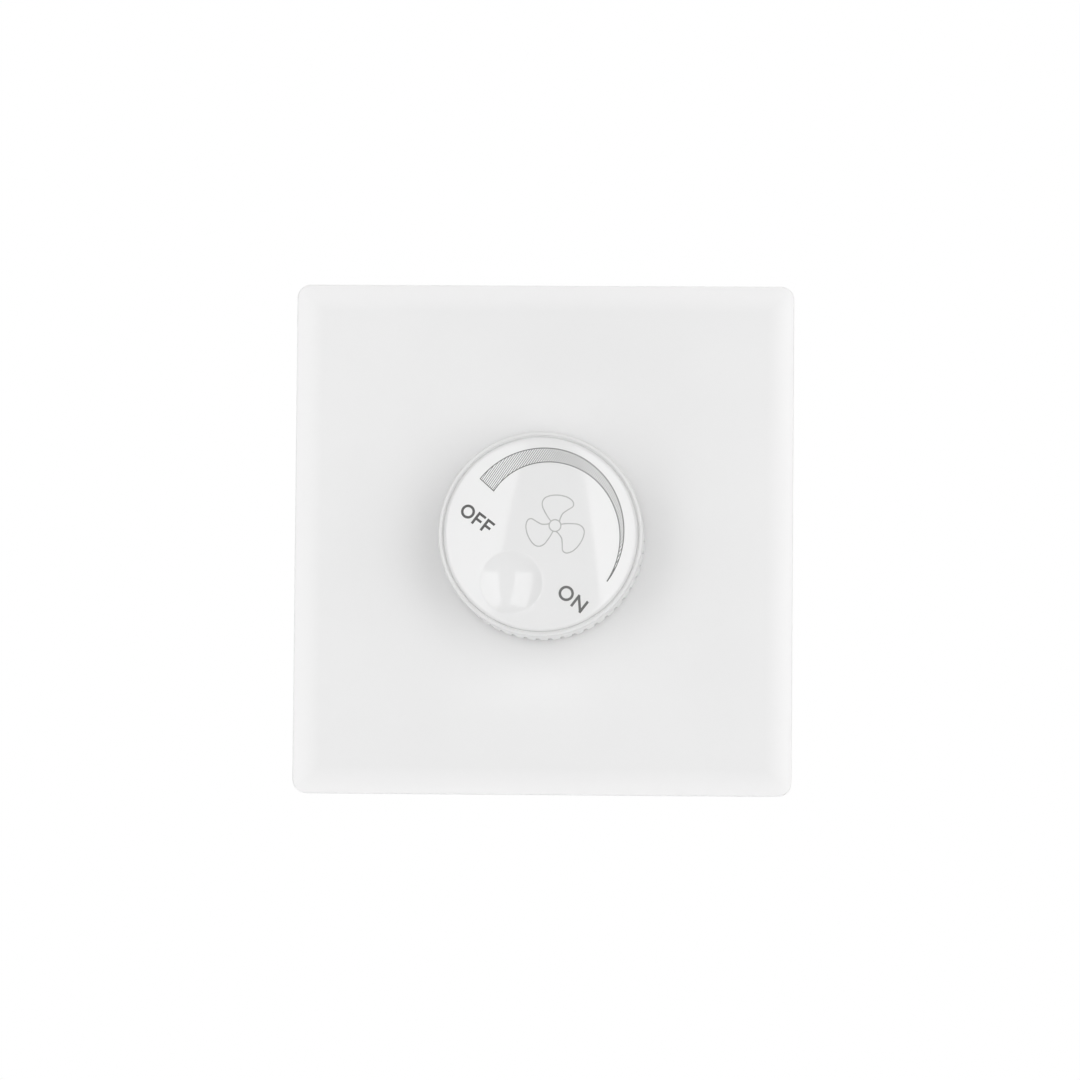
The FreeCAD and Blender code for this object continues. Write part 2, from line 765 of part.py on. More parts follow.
def make_pot_rotor():
    disc = rod(rotor_diameter, rotor_front, rotor_back)
    lug_reach = can_inner_diameter / 2 - rotor_gap
    lug = arc_block(rotor_diameter / 4, lug_reach, lug_half_angle, rotor_front, rotor_back, rest_angle)
    rotor = fused(disc, [lug])
    return rotor.cut(rod(shaft_diameter + 2 * press_clearance, rotor_front, rotor_back))


def make_pot_wiper():
    outer = wiper_track_diameter + wiper_width
    inner = wiper_track_diameter - wiper_width
    plate_front_y = rotor_front - wiper_thickness
    wiper = ring(outer, inner, plate_front_y, rotor_front)
    pads = []
    for turn in (0, 180):
        pad = rod(wiper_pad_diameter, wafer_back + wiper_lift, plate_front_y, 0, wiper_track_diameter / 2)
        pads.append(clockwise(pad, rest_angle + turn))
    return fused(wiper, pads)


def make_pot_wafer():
    disc = rod(can_inner_diameter - 2 * fit_clearance, wafer_front, wafer_back)
    tab = slab(wafer_tab_width, wafer_tab_reach, wafer_front, wafer_back, 0, -wafer_tab_reach / 2)
    return fused(disc, [tab]).cut(rod(wafer_hole_diameter, wafer_front, wafer_back))


def make_pot_can():
    can = ring(pot_diameter, can_inner_diameter, wafer_front, pot_back)
    stop = arc_block(
        rotor_diameter / 2 + rotor_gap,
        pot_diameter / 2 - pot_can_wall / 2,
        stop_half_angle,
        wafer_back + fit_clearance,
        pot_back,
        stop_angle,
    )
    can = fused(can, [stop])
    window = wafer_tab_width + 2 * fit_clearance
    return can.cut(slab(window, pot_diameter, wafer_front, wafer_back + fit_clearance, 0, -pot_diameter / 2))


def make_pot_switch():
    back = pot_back + switch_depth
    case = rod(pot_diameter, pot_back, back)
    return case.makeChamfer(switch_edge, edges_at_y(case, back))


def make_pot_pins():
    pins = [lead(x, pot_pin_z, wafer_back, board_back + lead_stub) for x in pot_pin_places]
    for x, z in pair(0, switch_pin_z, switch_pin_pitch):
        pins.append(lead(x, z, pot_back + switch_depth, board_back + lead_stub))
    return pins


# Circuit board and what stands on it


def capacitor_x(sizes):
    return right_of_board(sizes["width"])


def axial_places():
    """Each axial piece with the middle of its body along X."""
    left = -(board_width / 2 - board_edge - post_diameter / 2)
    return [
        (timing_resistor, left + timing_resistor["pitch"] / 2),
        (snubber_resistor, left + snubber_resistor["pitch"] / 2),
        (diac, 0.0),
        (fuse, right_of_board(fuse["pitch"])),
    ]


def lead_places():
    """Every place where a lead or pin passes through the board."""
    places = [(x, pot_pin_z) for x in pot_pin_places]
    places += pair(0, switch_pin_z, switch_pin_pitch)
    places += [(index * triac_lead_pitch, triac_lead_z) for index in (-1, 0, 1)]
    places += choke_lead_places()
    for sizes in (suppression_capacitor, snubber_capacitor, timing_capacitor):
        places += pair(capacitor_x(sizes), sizes["z"], sizes["pitch"])
    for sizes, x in axial_places():
        places += pair(x, sizes["z"], sizes["pitch"])
    places += pair(0, pocket_z, terminal_width)
    return places


def make_circuit_board():
    corner = max(housing_corner_radius - housing_wall - board_gap, fit_clearance)
    board = round_slab(board_width, board_height, corner, board_front, board_back)
    cuts = [polygon_bar(8, lead_hole_diameter, board_front, board_back, x, z) for x, z in lead_places()]
    for x, z in corners(boss_x, boss_z):
        cuts.append(rod(screw_hole_diameter, board_front, board_back, x, z))
    return board.cut(cuts)


def make_triac_body():
    middle = heatsink_z - triac_tab_thickness - triac_body_thickness / 2
    return slab(triac_width, triac_body_thickness, triac_foot, triac_foot + triac_body_height, 0, middle)


def make_triac_tab():
    middle = heatsink_z - triac_tab_thickness / 2
    tab = slab(triac_width, triac_tab_thickness, triac_foot, triac_top, 0, middle)
    return tab.cut(triac_screw_bore(triac_screw_diameter + 4 * fit_clearance))


def triac_screw_bore(diameter):
    """A bar along Z through the triac's tab and the heatsink."""
    start = FreeCAD.Vector(0, triac_screw_y, heatsink_z - triac_tab_thickness)
    length = triac_tab_thickness + heatsink_thickness
    return Part.makeCylinder(diameter / 2, length, start, FreeCAD.Vector(0, 0, 1))


def make_triac_leads():
    width = triac_lead_width
    return [
        slab(width, width, board_front, triac_foot, index * triac_lead_pitch, triac_lead_z)
        for index in (-1, 0, 1)
    ]


def make_heatsink():
    back_z = heatsink_z + heatsink_thickness
    end_z = heatsink_z + heatsink_foot
    top = board_back + heatsink_height
    profile = [
        FreeCAD.Vector(-heatsink_width / 2, board_back, heatsink_z),
        FreeCAD.Vector(-heatsink_width / 2, board_back, end_z),
        FreeCAD.Vector(-heatsink_width / 2, board_back + heatsink_thickness, end_z),
        FreeCAD.Vector(-heatsink_width / 2, board_back + heatsink_thickness, back_z),
        FreeCAD.Vector(-heatsink_width / 2, top, back_z),
        FreeCAD.Vector(-heatsink_width / 2, top, heatsink_z),
    ]
    sheet = face_of(profile).extrude(FreeCAD.Vector(heatsink_width, 0, 0))
    fold = [
        edge for edge in sheet.Edges
        if abs(edge.BoundBox.XLength - heatsink_width) < 1e-4
        and abs(edge.BoundBox.YMin - board_back) < 1e-4
        and abs(edge.BoundBox.ZMin - heatsink_z) < 1e-4
    ]
    sheet = sheet.makeFillet(heatsink_bend, fold)
    return sheet.cut(triac_screw_bore(triac_screw_diameter + 2 * shaft_clearance))


def make_heatsink_screw():
    seat_z = heatsink_z - triac_tab_thickness
    axis = FreeCAD.Vector(0, 0, 1)
    length = triac_tab_thickness + heatsink_thickness + triac_screw_spare
    shank = Part.makeCylinder(
        triac_screw_diameter / 2, length, FreeCAD.Vector(0, triac_screw_y, seat_z), axis
    )
    head_start = FreeCAD.Vector(0, triac_screw_y, seat_z - triac_screw_head_height)
    head = Part.makeCylinder(triac_screw_head / 2, triac_screw_head_height, head_start, axis)
    groove = slab(
        triac_screw_head,
        screw_slot_depth,
        triac_screw_y - screw_slot_width / 2,
        triac_screw_y + screw_slot_width / 2,
        0,
        seat_z - triac_screw_head_height + screw_slot_depth / 2,
    )
    return fused(shank, [head]).cut(groove)


def make_choke_core():
    front = board_back + winding_build
    return ring(choke_outer_diameter, choke_inner_diameter, front, front + choke_height, choke_x, choke_z)


def choke_lead_places():
    """The two ends of the winding, beside the bare part of the core."""
    turn = math.radians(winding_gap_angle)
    across = choke_lead_radius * math.sin(turn)
    along = choke_lead_radius * math.cos(turn)
    return [(choke_x + across, choke_z + along), (choke_x + across, choke_z - along)]


def make_choke_winding():
    back = board_back + choke_height + 2 * winding_build
    sleeve = ring(winding_outer_diameter, winding_inner_diameter, board_back, back)
    core_front = board_back + winding_build - fit_clearance
    core_back = board_back + winding_build + choke_height + fit_clearance
    core_outer = choke_outer_diameter + 2 * fit_clearance
    core_inner = choke_inner_diameter - 2 * fit_clearance
    core = ring(core_outer, core_inner, core_front, core_back)
    sleeve = sleeve.cut(core)
    gap = arc_block(0, winding_outer_diameter, winding_gap_angle / 2, board_back, back, 90)
    sleeve = sleeve.cut(gap).translated(FreeCAD.Vector(choke_x, 0, choke_z))
    ends = [
        rod(choke_lead_diameter, board_front, board_back + winding_build / 2, x, z)
        for x, z in choke_lead_places()
    ]
    return fused(sleeve, ends)


def make_capacitor(sizes):
    """A moulded box with two pins through the board."""
    x = capacitor_x(sizes)
    case = slab(sizes["width"], sizes["depth"], board_back, board_back + sizes["height"], x, sizes["z"])
    case = case.makeFillet(capacitor_edge_round, edges_along_y(case))
    pin_end = board_back + lead_stub
    pins = [lead(px, pz, board_front, pin_end) for px, pz in pair(x, sizes["z"], sizes["pitch"])]
    return fused(case, pins)


def make_axial(sizes, x):
    """A round body on the board with a lead at each end, bent down into the board."""
    axis = FreeCAD.Vector(1, 0, 0)
    y = board_back + axial_lift + sizes["diameter"] / 2
    start = FreeCAD.Vector(x - sizes["length"] / 2, y, sizes["z"])
    body = Part.makeCylinder(sizes["diameter"] / 2, sizes["length"], start, axis)
    outer = sizes["pitch"] + axial_lead_size
    inner = sizes["pitch"] - axial_lead_size
    top = y + axial_lead_size / 2
    wire = slab(outer, axial_lead_size, board_front, top, x, sizes["z"])
    wire = wire.cut(slab(inner, axial_lead_size, board_front, top - axial_lead_size, x, sizes["z"]))
    return fused(body, [wire])


def make_terminal(x):
    """The insulating body of one screw terminal."""
    body = slab(terminal_width, terminal_length, board_back, terminal_back, x, terminal_centre_z)
    mouth = FreeCAD.Vector(x, wire_bore_y, terminal_mouth_z)
    screw_hole = terminal_screw_diameter + 4 * fit_clearance
    cuts = [
        slab(pocket_width, pocket_length, board_back, terminal_floor_front, x, pocket_z),
        rod(screw_hole, terminal_floor_front, terminal_floor_back, x, pocket_z),
        rod(terminal_well_diameter, terminal_floor_back, terminal_back, x, pocket_z),
        Part.makeCylinder(wire_bore_diameter / 2, terminal_mouth_wall, mouth, FreeCAD.Vector(0, 0, 1)),
    ]
    return body.cut(cuts)


def make_terminal_clamps():
    clamps = []
    width = pocket_width - 2 * clamp_gap
    length = pocket_length - 2 * clamp_gap
    for x, z in pair(0, pocket_z, terminal_width):
        block = slab(width, length, board_back, clamp_top, x, z)
        block = fused(block, [lead(x, z, board_front, board_back + lead_stub)])
        start = FreeCAD.Vector(x, wire_bore_y, z - length / 2)
        wire = Part.makeCylinder(clamp_bore_diameter / 2, length, start, FreeCAD.Vector(0, 0, 1))
        thread = rod(terminal_screw_diameter + 2 * shaft_clearance, wire_bore_y, clamp_top, x, z)
        clamps.append(block.cut([wire, thread]))
    return clamps


def make_terminal_screws():
    return [
        pan_screw(
            terminal_screw_diameter,
            terminal_screw_head,
            terminal_screw_head_height,
            terminal_floor_back,
            terminal_screw_tip,
            x,
            z,
        )
        for x, z in pair(0, pocket_z, terminal_width)
    ]


def make_resistors():
    return [make_axial(sizes, x) for sizes, x in axial_places()[:2]]


def all_pieces():
    left, right = (x for x, _ in pair(0, 0, terminal_width))
    placed = axial_places()
    return {
        "front_plate": make_front_plate(),
        "mounting_frame": make_mounting_frame(),
        "rear_housing": make_rear_housing(),
        "housing_screws": make_housing_screws(),
        "knob_body": make_knob_body(),
        "knob_face": make_knob_face(),
        "pot_bushing": make_pot_bushing(),
        "pot_washer": make_pot_washer(),
        "pot_nut": make_pot_nut(),
        "pot_shaft": make_pot_shaft(),
        "pot_rotor": make_pot_rotor(),
        "pot_wiper": make_pot_wiper(),
        "pot_wafer": make_pot_wafer(),
        "pot_can": make_pot_can(),
        "pot_switch": make_pot_switch(),
        "pot_pins": make_pot_pins(),
        "circuit_board": make_circuit_board(),
        "triac_body": make_triac_body(),
        "triac_tab": make_triac_tab(),
        "triac_leads": make_triac_leads(),
        "heatsink": make_heatsink(),
        "heatsink_screw": make_heatsink_screw(),
        "choke_core": make_choke_core(),
        "choke_winding": make_choke_winding(),
        "suppression_capacitor": make_capacitor(suppression_capacitor),
        "snubber_capacitor": make_capacitor(snubber_capacitor),
        "timing_capacitor": make_capacitor(timing_capacitor),
        "resistors": make_resistors(),
        "diac": make_axial(*placed[2]),
        "fuse": make_axial(*placed[3]),
        "terminal_line": make_terminal(left),
        "terminal_load": make_terminal(right),
        "terminal_clamps": make_terminal_clamps(),
        "terminal_screws": make_terminal_screws(),
    }


def solids_of(shape):
    """The solids of a piece, or of a group of pieces."""
    shapes = shape if isinstance(shape, list) else [shape]
    return [solid for item in shapes for solid in item.Solids]


os.makedirs("parts", exist_ok=True)
for name, shape in all_pieces().items():
    solids = solids_of(shape)
    Part.makeCompound(solids).exportStep("parts/" + name + ".step")
    volume = sum(solid.Volume for solid in solids)
    valid = all(solid.isValid() for solid in solids)
    print(name, len(solids), "solids", round(volume, 2), "mm3", "valid" if valid else "not valid")
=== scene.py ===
# %% [markdown]
# Fan speed control switch.
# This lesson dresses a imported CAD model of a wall-mounted rotary fan control: a white cover plate, a
# fluted knob with a domed face, and the frame, housing and circuit behind them.
# The CAD model is loaded first and stays fixed. Every piece made here lies in the same frame: +Z is up,
# +X is to the right, +Y goes into the wall, and the origin is the middle of the plane where the switch
# meets the wall.

# %% Load the frame
import math
from functools import partial

import bmesh
import bpy
from mathutils import Matrix, Vector


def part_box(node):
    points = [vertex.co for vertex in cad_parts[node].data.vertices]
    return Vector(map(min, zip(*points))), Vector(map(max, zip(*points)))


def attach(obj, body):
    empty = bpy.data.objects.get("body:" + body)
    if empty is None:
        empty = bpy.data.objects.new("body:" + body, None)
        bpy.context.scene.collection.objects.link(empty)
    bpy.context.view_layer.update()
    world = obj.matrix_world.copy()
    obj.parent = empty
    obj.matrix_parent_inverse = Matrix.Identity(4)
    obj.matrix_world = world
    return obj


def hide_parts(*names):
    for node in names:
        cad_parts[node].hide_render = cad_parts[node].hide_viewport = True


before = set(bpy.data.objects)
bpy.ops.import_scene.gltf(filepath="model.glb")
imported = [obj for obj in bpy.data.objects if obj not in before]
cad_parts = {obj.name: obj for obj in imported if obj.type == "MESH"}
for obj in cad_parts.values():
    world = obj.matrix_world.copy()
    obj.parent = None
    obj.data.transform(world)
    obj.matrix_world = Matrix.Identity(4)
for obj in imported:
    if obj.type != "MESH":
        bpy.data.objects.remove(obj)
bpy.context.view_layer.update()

# %% [markdown]
# Blender works in metres, but a switch is easier to think of in millimetres. So sizes are written in
# millimetres, points are (x, y, z) in millimetres, and one helper turns them into vertices. Most pieces
# below grow ring after ring along a section, so a second helper joins rings of vertices with four-sided
# faces. Others turn a finished bmesh into an object whose faces all point outwards, and the result of a
# piece's modifiers into plain mesh.

# %% Mesh helpers
MM = 0.001
plain_crease = 35.0


def ring_of(bm, points):
    """Vertices at a list of points."""
    return [bm.verts.new(Vector(point) * MM) for point in points]


def join_rings(bm, *rings):
    """Four-sided faces between each closed ring and the next one, which has as many vertices."""
    for first, second in zip(rings, rings[1:]):
        count = len(first)
        for index in range(count):
            after = (index + 1) % count
            bm.faces.new((first[index], first[after], second[after], second[index]))


def crease(mesh, angle):
    """Smooth shading, except at edges sharper than an angle in degrees."""
    mesh.shade_smooth()
    mesh.set_sharp_from_angle(angle=math.radians(angle))


def object_from(name, bm, material, sharpest=plain_crease):
    """A piece from a bmesh."""
    bmesh.ops.recalc_face_normals(bm, faces=bm.faces[:])
    mesh = bpy.data.meshes.new(name)
    bm.to_mesh(mesh)
    bm.free()
    crease(mesh, sharpest)
    mesh.materials.append(material)
    piece = bpy.data.objects.new(name, mesh)
    bpy.context.scene.collection.objects.link(piece)
    return piece


def baked(piece, sharpest):
    """The piece with its modifiers turned into plain mesh."""
    graph = bpy.context.evaluated_depsgraph_get()
    mesh = bpy.data.meshes.new_from_object(piece.evaluated_get(graph))
    mesh.name = piece.name
    piece.modifiers.clear()
    piece.data = mesh
    crease(mesh, sharpest)
    return piece


def spaced(start, end, steps):
    """Values from start to end in equal steps, both ends among them."""
    return [start + (end - start) * step / steps for step in range(steps + 1)]


def around(radius, y, count, centre_x=0.0, centre_z=0.0):
    """Points of a circle that faces along Y, clockwise from twelve o'clock as seen from the front."""
    clocks = [2 * math.pi * index / count for index in range(count)]
    return [(centre_x + radius * math.sin(t), y, centre_z + radius * math.cos(t)) for t in clocks]


print("helpers ready, one unit is", MM, "m")

# %% [markdown]
# The camera stands about a metre away, a little to the right of the knob's axis and a little below it,
# because the picture shows the plate's bottom edge, and the knob's skirt at the bottom. A long lens
# keeps the plate's sides almost parallel. One helper places whatever looks at the switch, so the lamps
# can use it too: two angles and a distance say where it stands, and a roll turns it about its line of
# sight.

# %% Camera
camera_azimuth = 2.007
camera_elevation = -3.559
camera_distance = 998.9
camera_roll = 0.482
camera_target = Vector((-0.875, 0.0, 0.365))
camera_lens = 191.42
camera_sensor = 36.0


def facing_from(azimuth, elevation, distance, roll):
    """The matrix of a thing that faces the origin from so many degrees to the right and so many up."""
    side = math.radians(azimuth)
    up = math.radians(elevation)
    outwards = Vector((math.sin(side) * math.cos(up), -math.cos(side) * math.cos(up), math.sin(up)))
    facing = outwards.to_track_quat("Z", "Y").to_matrix().to_4x4()
    turned = Matrix.Rotation(math.radians(roll), 4, "Z")
    return Matrix.Translation(outwards * distance * MM) @ facing @ turned


camera_data = bpy.data.cameras.new("camera")
camera_data.sensor_width = camera_sensor
camera_data.lens = camera_lens
camera = bpy.data.objects.new("camera", camera_data)
camera_stand = facing_from(camera_azimuth, camera_elevation, camera_distance, camera_roll)
camera.matrix_world = Matrix.Translation(camera_target * MM) @ camera_stand
bpy.context.scene.collection.objects.link(camera)
bpy.context.scene.camera = camera
print("camera at", tuple(round(value, 4) for value in camera.location))

# %% [markdown]
# Two tall softboxes stand left and right of the lens. They show as two pale windows with a darker strip
# between them on the glossy knob face, and upside down in its finger dimple, and they leave the soft
# shadows beside the knob. Each one leans a little, so the strip is narrower at its top. Two strip lights
# further out widen those shadows, and a fill beside the lens lifts the plate without one, because the
# knob hides that shadow from the lens. Two dim cards above and below light the walls. The strips, the
# fill and the lower card are polarised, as in a copy stand, so they leave no mirror image on the gloss.

# %% Lamps
softbox_size = (455.0, 900.0)
card_size = (800.0, 300.0)
strip_size = (300.0, 1100.0)
fill_size = (160.0, 160.0)
softbox_side = 24.5
strip_side = 54.0
stand_height = 3.0
stand_distance = 900.0
above_place = (0.0, 68.0, 400.0)
below_place = (20.0, -84.0, 350.0)
lens_place = (camera_azimuth, camera_elevation, 950.0)


def add_lamp(name, size, place, brightness, lean=0.0, polarised=False):
    """A rectangular lamp that faces the knob; its place is two angles in degrees and a distance."""
    lamp = bpy.data.lights.new(name, "AREA")
    lamp.shape = "RECTANGLE"
    lamp.size = size[0] * MM
    lamp.size_y = size[1] * MM
    lamp.energy = brightness * math.pi * lamp.size * lamp.size_y
    box = bpy.data.objects.new(name, lamp)
    box.matrix_world = facing_from(*place, lean)
    box.visible_glossy = not polarised
    bpy.context.scene.collection.objects.link(box)


def on_stand(side):
    """The place of a lamp on a stand, so many degrees to the right."""
    return (side, stand_height, stand_distance)


add_lamp("softbox_left", softbox_size, on_stand(-softbox_side), brightness=1.97, lean=-10.0)
add_lamp("softbox_right", softbox_size, on_stand(softbox_side), brightness=2.21, lean=7.0)
add_lamp("strip_left", strip_size, on_stand(-strip_side), brightness=1.14, polarised=True)
add_lamp("strip_right", strip_size, on_stand(strip_side), brightness=1.53, polarised=True)
add_lamp("card_above", card_size, above_place, brightness=0.59)
add_lamp("card_below", card_size, below_place, brightness=0.73, polarised=True)
add_lamp("lens_fill", fill_size, lens_place, brightness=6.2, polarised=True)
print("two softboxes, two strip lights, two cards and a fill beside the lens")

# %% [markdown]
# The room, the materials and Geometry Nodes are all trees of nodes. They could be clicked together by
# hand. In a script it is shorter to have one helper that makes a node, sets it, and feeds its inputs by
# name, with a value or with a link from another node. The other helpers are the few nodes that come up
# again and again: arithmetic, the parts of a vector, a value brought to another range, and a mix of two
# colours.

# %% Node helpers


def feed(tree, socket, value):
    """Links an input to another socket, or sets it if the value is a plain one."""
    if isinstance(value, bpy.types.NodeSocket):
        tree.links.new(value, socket)
    else:
        socket.default_value = value


def add_node(tree, kind, inputs=None, **settings):
    """A new node with its settings, and then its inputs, given by name or number."""
    node = tree.nodes.new(kind)
    for name, value in settings.items():
        setattr(node, name, value)
    for name, value in (inputs or {}).items():
        feed(tree, node.inputs[name], value)
    return node


def calculate(tree, operation, *values):
    """The result of one Math node; values are numbers or sockets."""
    node = add_node(tree, "ShaderNodeMath", dict(enumerate(values)), operation=operation)
    return node.outputs["Value"]


def operations(tree, *names):
    """Functions that calculate in a tree, one for each named operation."""
    return [partial(calculate, tree, name) for name in names]


def parts_of(tree, vector):
    """The X, Y and Z of a vector socket."""
    parts = add_node(tree, "ShaderNodeSeparateXYZ", {"Vector": vector})
    return [parts.outputs[axis] for axis in "XYZ"]


def vector_of(tree, x, y, z):
    """A vector from three numbers or sockets."""
    return add_node(tree, "ShaderNodeCombineXYZ", {"X": x, "Y": y, "Z": z}).outputs["Vector"]


def rescale(tree, value, old, new=(0.0, 1.0), **settings):
    """A value brought from one (low, high) range to another, and kept inside it."""
    ends = {"From Min": old[0], "From Max": old[1], "To Min": new[0], "To Max": new[1]}
    node = add_node(tree, "ShaderNodeMapRange", {"Value": value, **ends}, **settings)
    return node.outputs["Result"]


def mix_colours(tree, share, low, high):
    """A colour between two others, each of them a colour or a socket."""
    ends = {"Factor": share, "A": low, "B": high}
    return add_node(tree, "ShaderNodeMix", ends, data_type="RGBA").outputs["Result"]


def object_place(tree):
    """Object coordinates, which stay on a piece when it turns."""
    return add_node(tree, "ShaderNodeTexCoord").outputs["Object"]


print("node helpers ready")

# %% [markdown]
# A white product picture is taken before a lit white backdrop. The world is that room: as light, it is
# bright behind the switch and dim at the front, where the lamps take over. Wherever the camera, a
# reflection or glass looks past the object, it is plain white.

# %% Backdrop
backdrop_light = 0.9
front_light = 0.06
backdrop_edge = 0.3
white = (1.0, 1.0, 1.0, 1.0)


def seen_directly(tree):
    """A mask that is 1 for the camera, for reflections and through glass, and 0 for light on things."""
    rays = add_node(tree, "ShaderNodeLightPath").outputs
    bounced = calculate(tree, "MAXIMUM", rays["Is Glossy Ray"], rays["Is Transmission Ray"])
    return calculate(tree, "MAXIMUM", rays["Is Camera Ray"], bounced)


world = bpy.data.worlds.new("white_room")
world.use_nodes = True
bpy.context.scene.world = world
room = world.node_tree
direction = add_node(room, "ShaderNodeTexCoord").outputs["Generated"]
_, backwards, _ = parts_of(room, direction)
lit = rescale(room, backwards, (0.0, backdrop_edge), (front_light, backdrop_light))
level = rescale(room, seen_directly(room), (0.0, 1.0), (lit, 1.0))
background = room.nodes["Background"]
feed(room, background.inputs["Color"], white)
feed(room, background.inputs["Strength"], level)
bpy.context.scene.view_settings.view_transform = "Standard"
print("backdrop", backdrop_light, "front", front_light)

# %% [markdown]
# The switch hangs on a wall, so the floor lies well below it and out of the picture. It is there for the
# views from above and from the side: a pale sheet that keeps a faint shadow.

# %% Floor
floor_drop = 600.0
floor_half = 700.0
floor_grey = (0.55, 0.55, 0.55, 1.0)
floor_glow = 0.8


def floor_paper():
    """Pale paper: part of it is its own glow, so that it stays near white, and part takes shadows."""
    material = bpy.data.materials.new("pale_floor")
    material.use_nodes = True
    tree = material.node_tree
    tree.nodes.clear()
    paper = add_node(tree, "ShaderNodeBsdfDiffuse", {"Color": floor_grey})
    glow = add_node(tree, "ShaderNodeEmission", {"Strength": 1.0})
    share = calculate(tree, "MULTIPLY", seen_directly(tree), floor_glow)
    ends = {"Fac": share, 1: paper.outputs["BSDF"], 2: glow.outputs["Emission"]}
    mix = add_node(tree, "ShaderNodeMixShader", ends)
    add_node(tree, "ShaderNodeOutputMaterial", {"Surface": mix.outputs["Shader"]})
    return material


bm = bmesh.new()
corners = [(-1, -1), (1, -1), (1, 1), (-1, 1)]
bm.faces.new(ring_of(bm, [(x * floor_half, y * floor_half, -floor_drop) for x, y in corners]))
floor = object_from("floor", bm, floor_paper())
print("floor", floor_drop, "mm below the knob's axis")

# %% [markdown]
# Moulded plastic is never perfectly even: it has a faint cloudiness, and a skin whose gloss and level
# vary over a millimetre or so. One shader node group gives these for every plastic here, and a second
# one, drawn out along Z, for the metals. Each puts out a tone, a roughness and a normal, and the
# material decides what to do with them. Patterns follow Object coordinates, so they stay on the piece
# when it turns.

# %% Groups for skins
skin_inputs = {
    "Cloud Scale": 250.0,
    "Grain Scale": 3000.0,
    "Grain Depth": 0.05,
    "Smoothest": 0.3,
    "Roughest": 0.4,
}
skin_outputs = {"Tone": "NodeSocketFloat", "Roughness": "NodeSocketFloat", "Normal": "NodeSocketVector"}
cloud_detail = 2.0
grain_detail = 3.0
grain_height = 0.02
noise_range = (0.3, 0.7)
metal_stretch = 0.06


def add_socket(tree, name, kind, way, value=None):
    """A named socket of a node group."""
    socket = tree.interface.new_socket(name=name, in_out=way, socket_type=kind)
    if value is not None:
        socket.default_value = value


def noise(tree, vector, scale, detail):
    """A noise texture whose scale is a number or a socket, in features per metre."""
    inputs = {"Vector": vector, "Scale": scale, "Detail": detail}
    return add_node(tree, "ShaderNodeTexNoise", inputs).outputs["Fac"]


def skin_group(name, stretch):
    """A group for surfaces with an even skin, or a skin drawn out along Z if stretch is not 1."""
    tree = bpy.data.node_groups.new(name, "ShaderNodeTree")
    for label, value in skin_inputs.items():
        add_socket(tree, label, "NodeSocketFloat", "INPUT", value)
    for label, kind in skin_outputs.items():
        add_socket(tree, label, kind, "OUTPUT")
    given = add_node(tree, "NodeGroupInput").outputs
    mapping = {"Vector": object_place(tree), "Scale": (1.0, 1.0, stretch)}
    place = add_node(tree, "ShaderNodeMapping", mapping).outputs["Vector"]
    cloud = noise(tree, place, given["Cloud Scale"], cloud_detail)
    grain = noise(tree, place, given["Grain Scale"], grain_detail)
    relief = {"Strength": given["Grain Depth"], "Distance": grain_height * MM, "Height": grain}
    results = {
        "Tone": rescale(tree, cloud, noise_range),
        "Roughness": rescale(tree, cloud, noise_range, (given["Smoothest"], given["Roughest"])),
        "Normal": add_node(tree, "ShaderNodeBump", relief).outputs["Normal"],
    }
    add_node(tree, "NodeGroupOutput", results)
    return tree


moulded_skin = skin_group("moulded_skin", 1.0)
drawn_metal = skin_group("drawn_metal", metal_stretch)
print("groups:", moulded_skin.name, drawn_metal.name)

# %% [markdown]
# A finish is a Principled shader fed by one of these groups: two close colours mixed by the tone, and
# the group's roughness and normal. What is the same all over, such as metallic or the specular level, is
# set on the shader's own sockets. A piece with more than one tone gets another colour painted over the
# first where a mask is high.

# %% Finishes from a skin


def finish(name, group, colour, darkest, roughness, grain, metallic=0.0, specular=0.5, clouds=250.0):
    """A procedural material: a colour, the share it darkens to, a roughness range, a depth of grain."""
    material = bpy.data.materials.new(name)
    material.use_nodes = True
    tree = material.node_tree
    low, high = roughness
    values = {"Cloud Scale": clouds, "Grain Depth": grain, "Smoothest": low, "Roughest": high}
    skin = add_node(tree, "ShaderNodeGroup", values, node_tree=group).outputs
    dark = [value * darkest for value in colour]
    shader_inputs = {
        "Base Color": mix_colours(tree, skin["Tone"], (*dark, 1.0), (*colour, 1.0)),
        "Roughness": skin["Roughness"],
        "Normal": skin["Normal"],
        "Metallic": metallic,
        "Specular IOR Level": specular,
    }
    for label, value in shader_inputs.items():
        feed(tree, tree.nodes["Principled BSDF"].inputs[label], value)
    return material


def paint_over(material, mask, colour):
    """Mixes a colour over the base colour of a material, where a mask is high."""
    tree = material.node_tree
    base = tree.nodes["Principled BSDF"].inputs["Base Color"]
    under = base.links[0].from_socket
    feed(tree, base, mix_colours(tree, mask, under, (*colour, 1.0)))


print("finish helpers ready")

# %% [markdown]
# Behind the plate most pieces already have their right shape in CAD, so they only get a finish. One
# table says how each finish looks, by its colour, its metallic value, the range of its roughness and the
# depth of its grain, and which nodes get it.

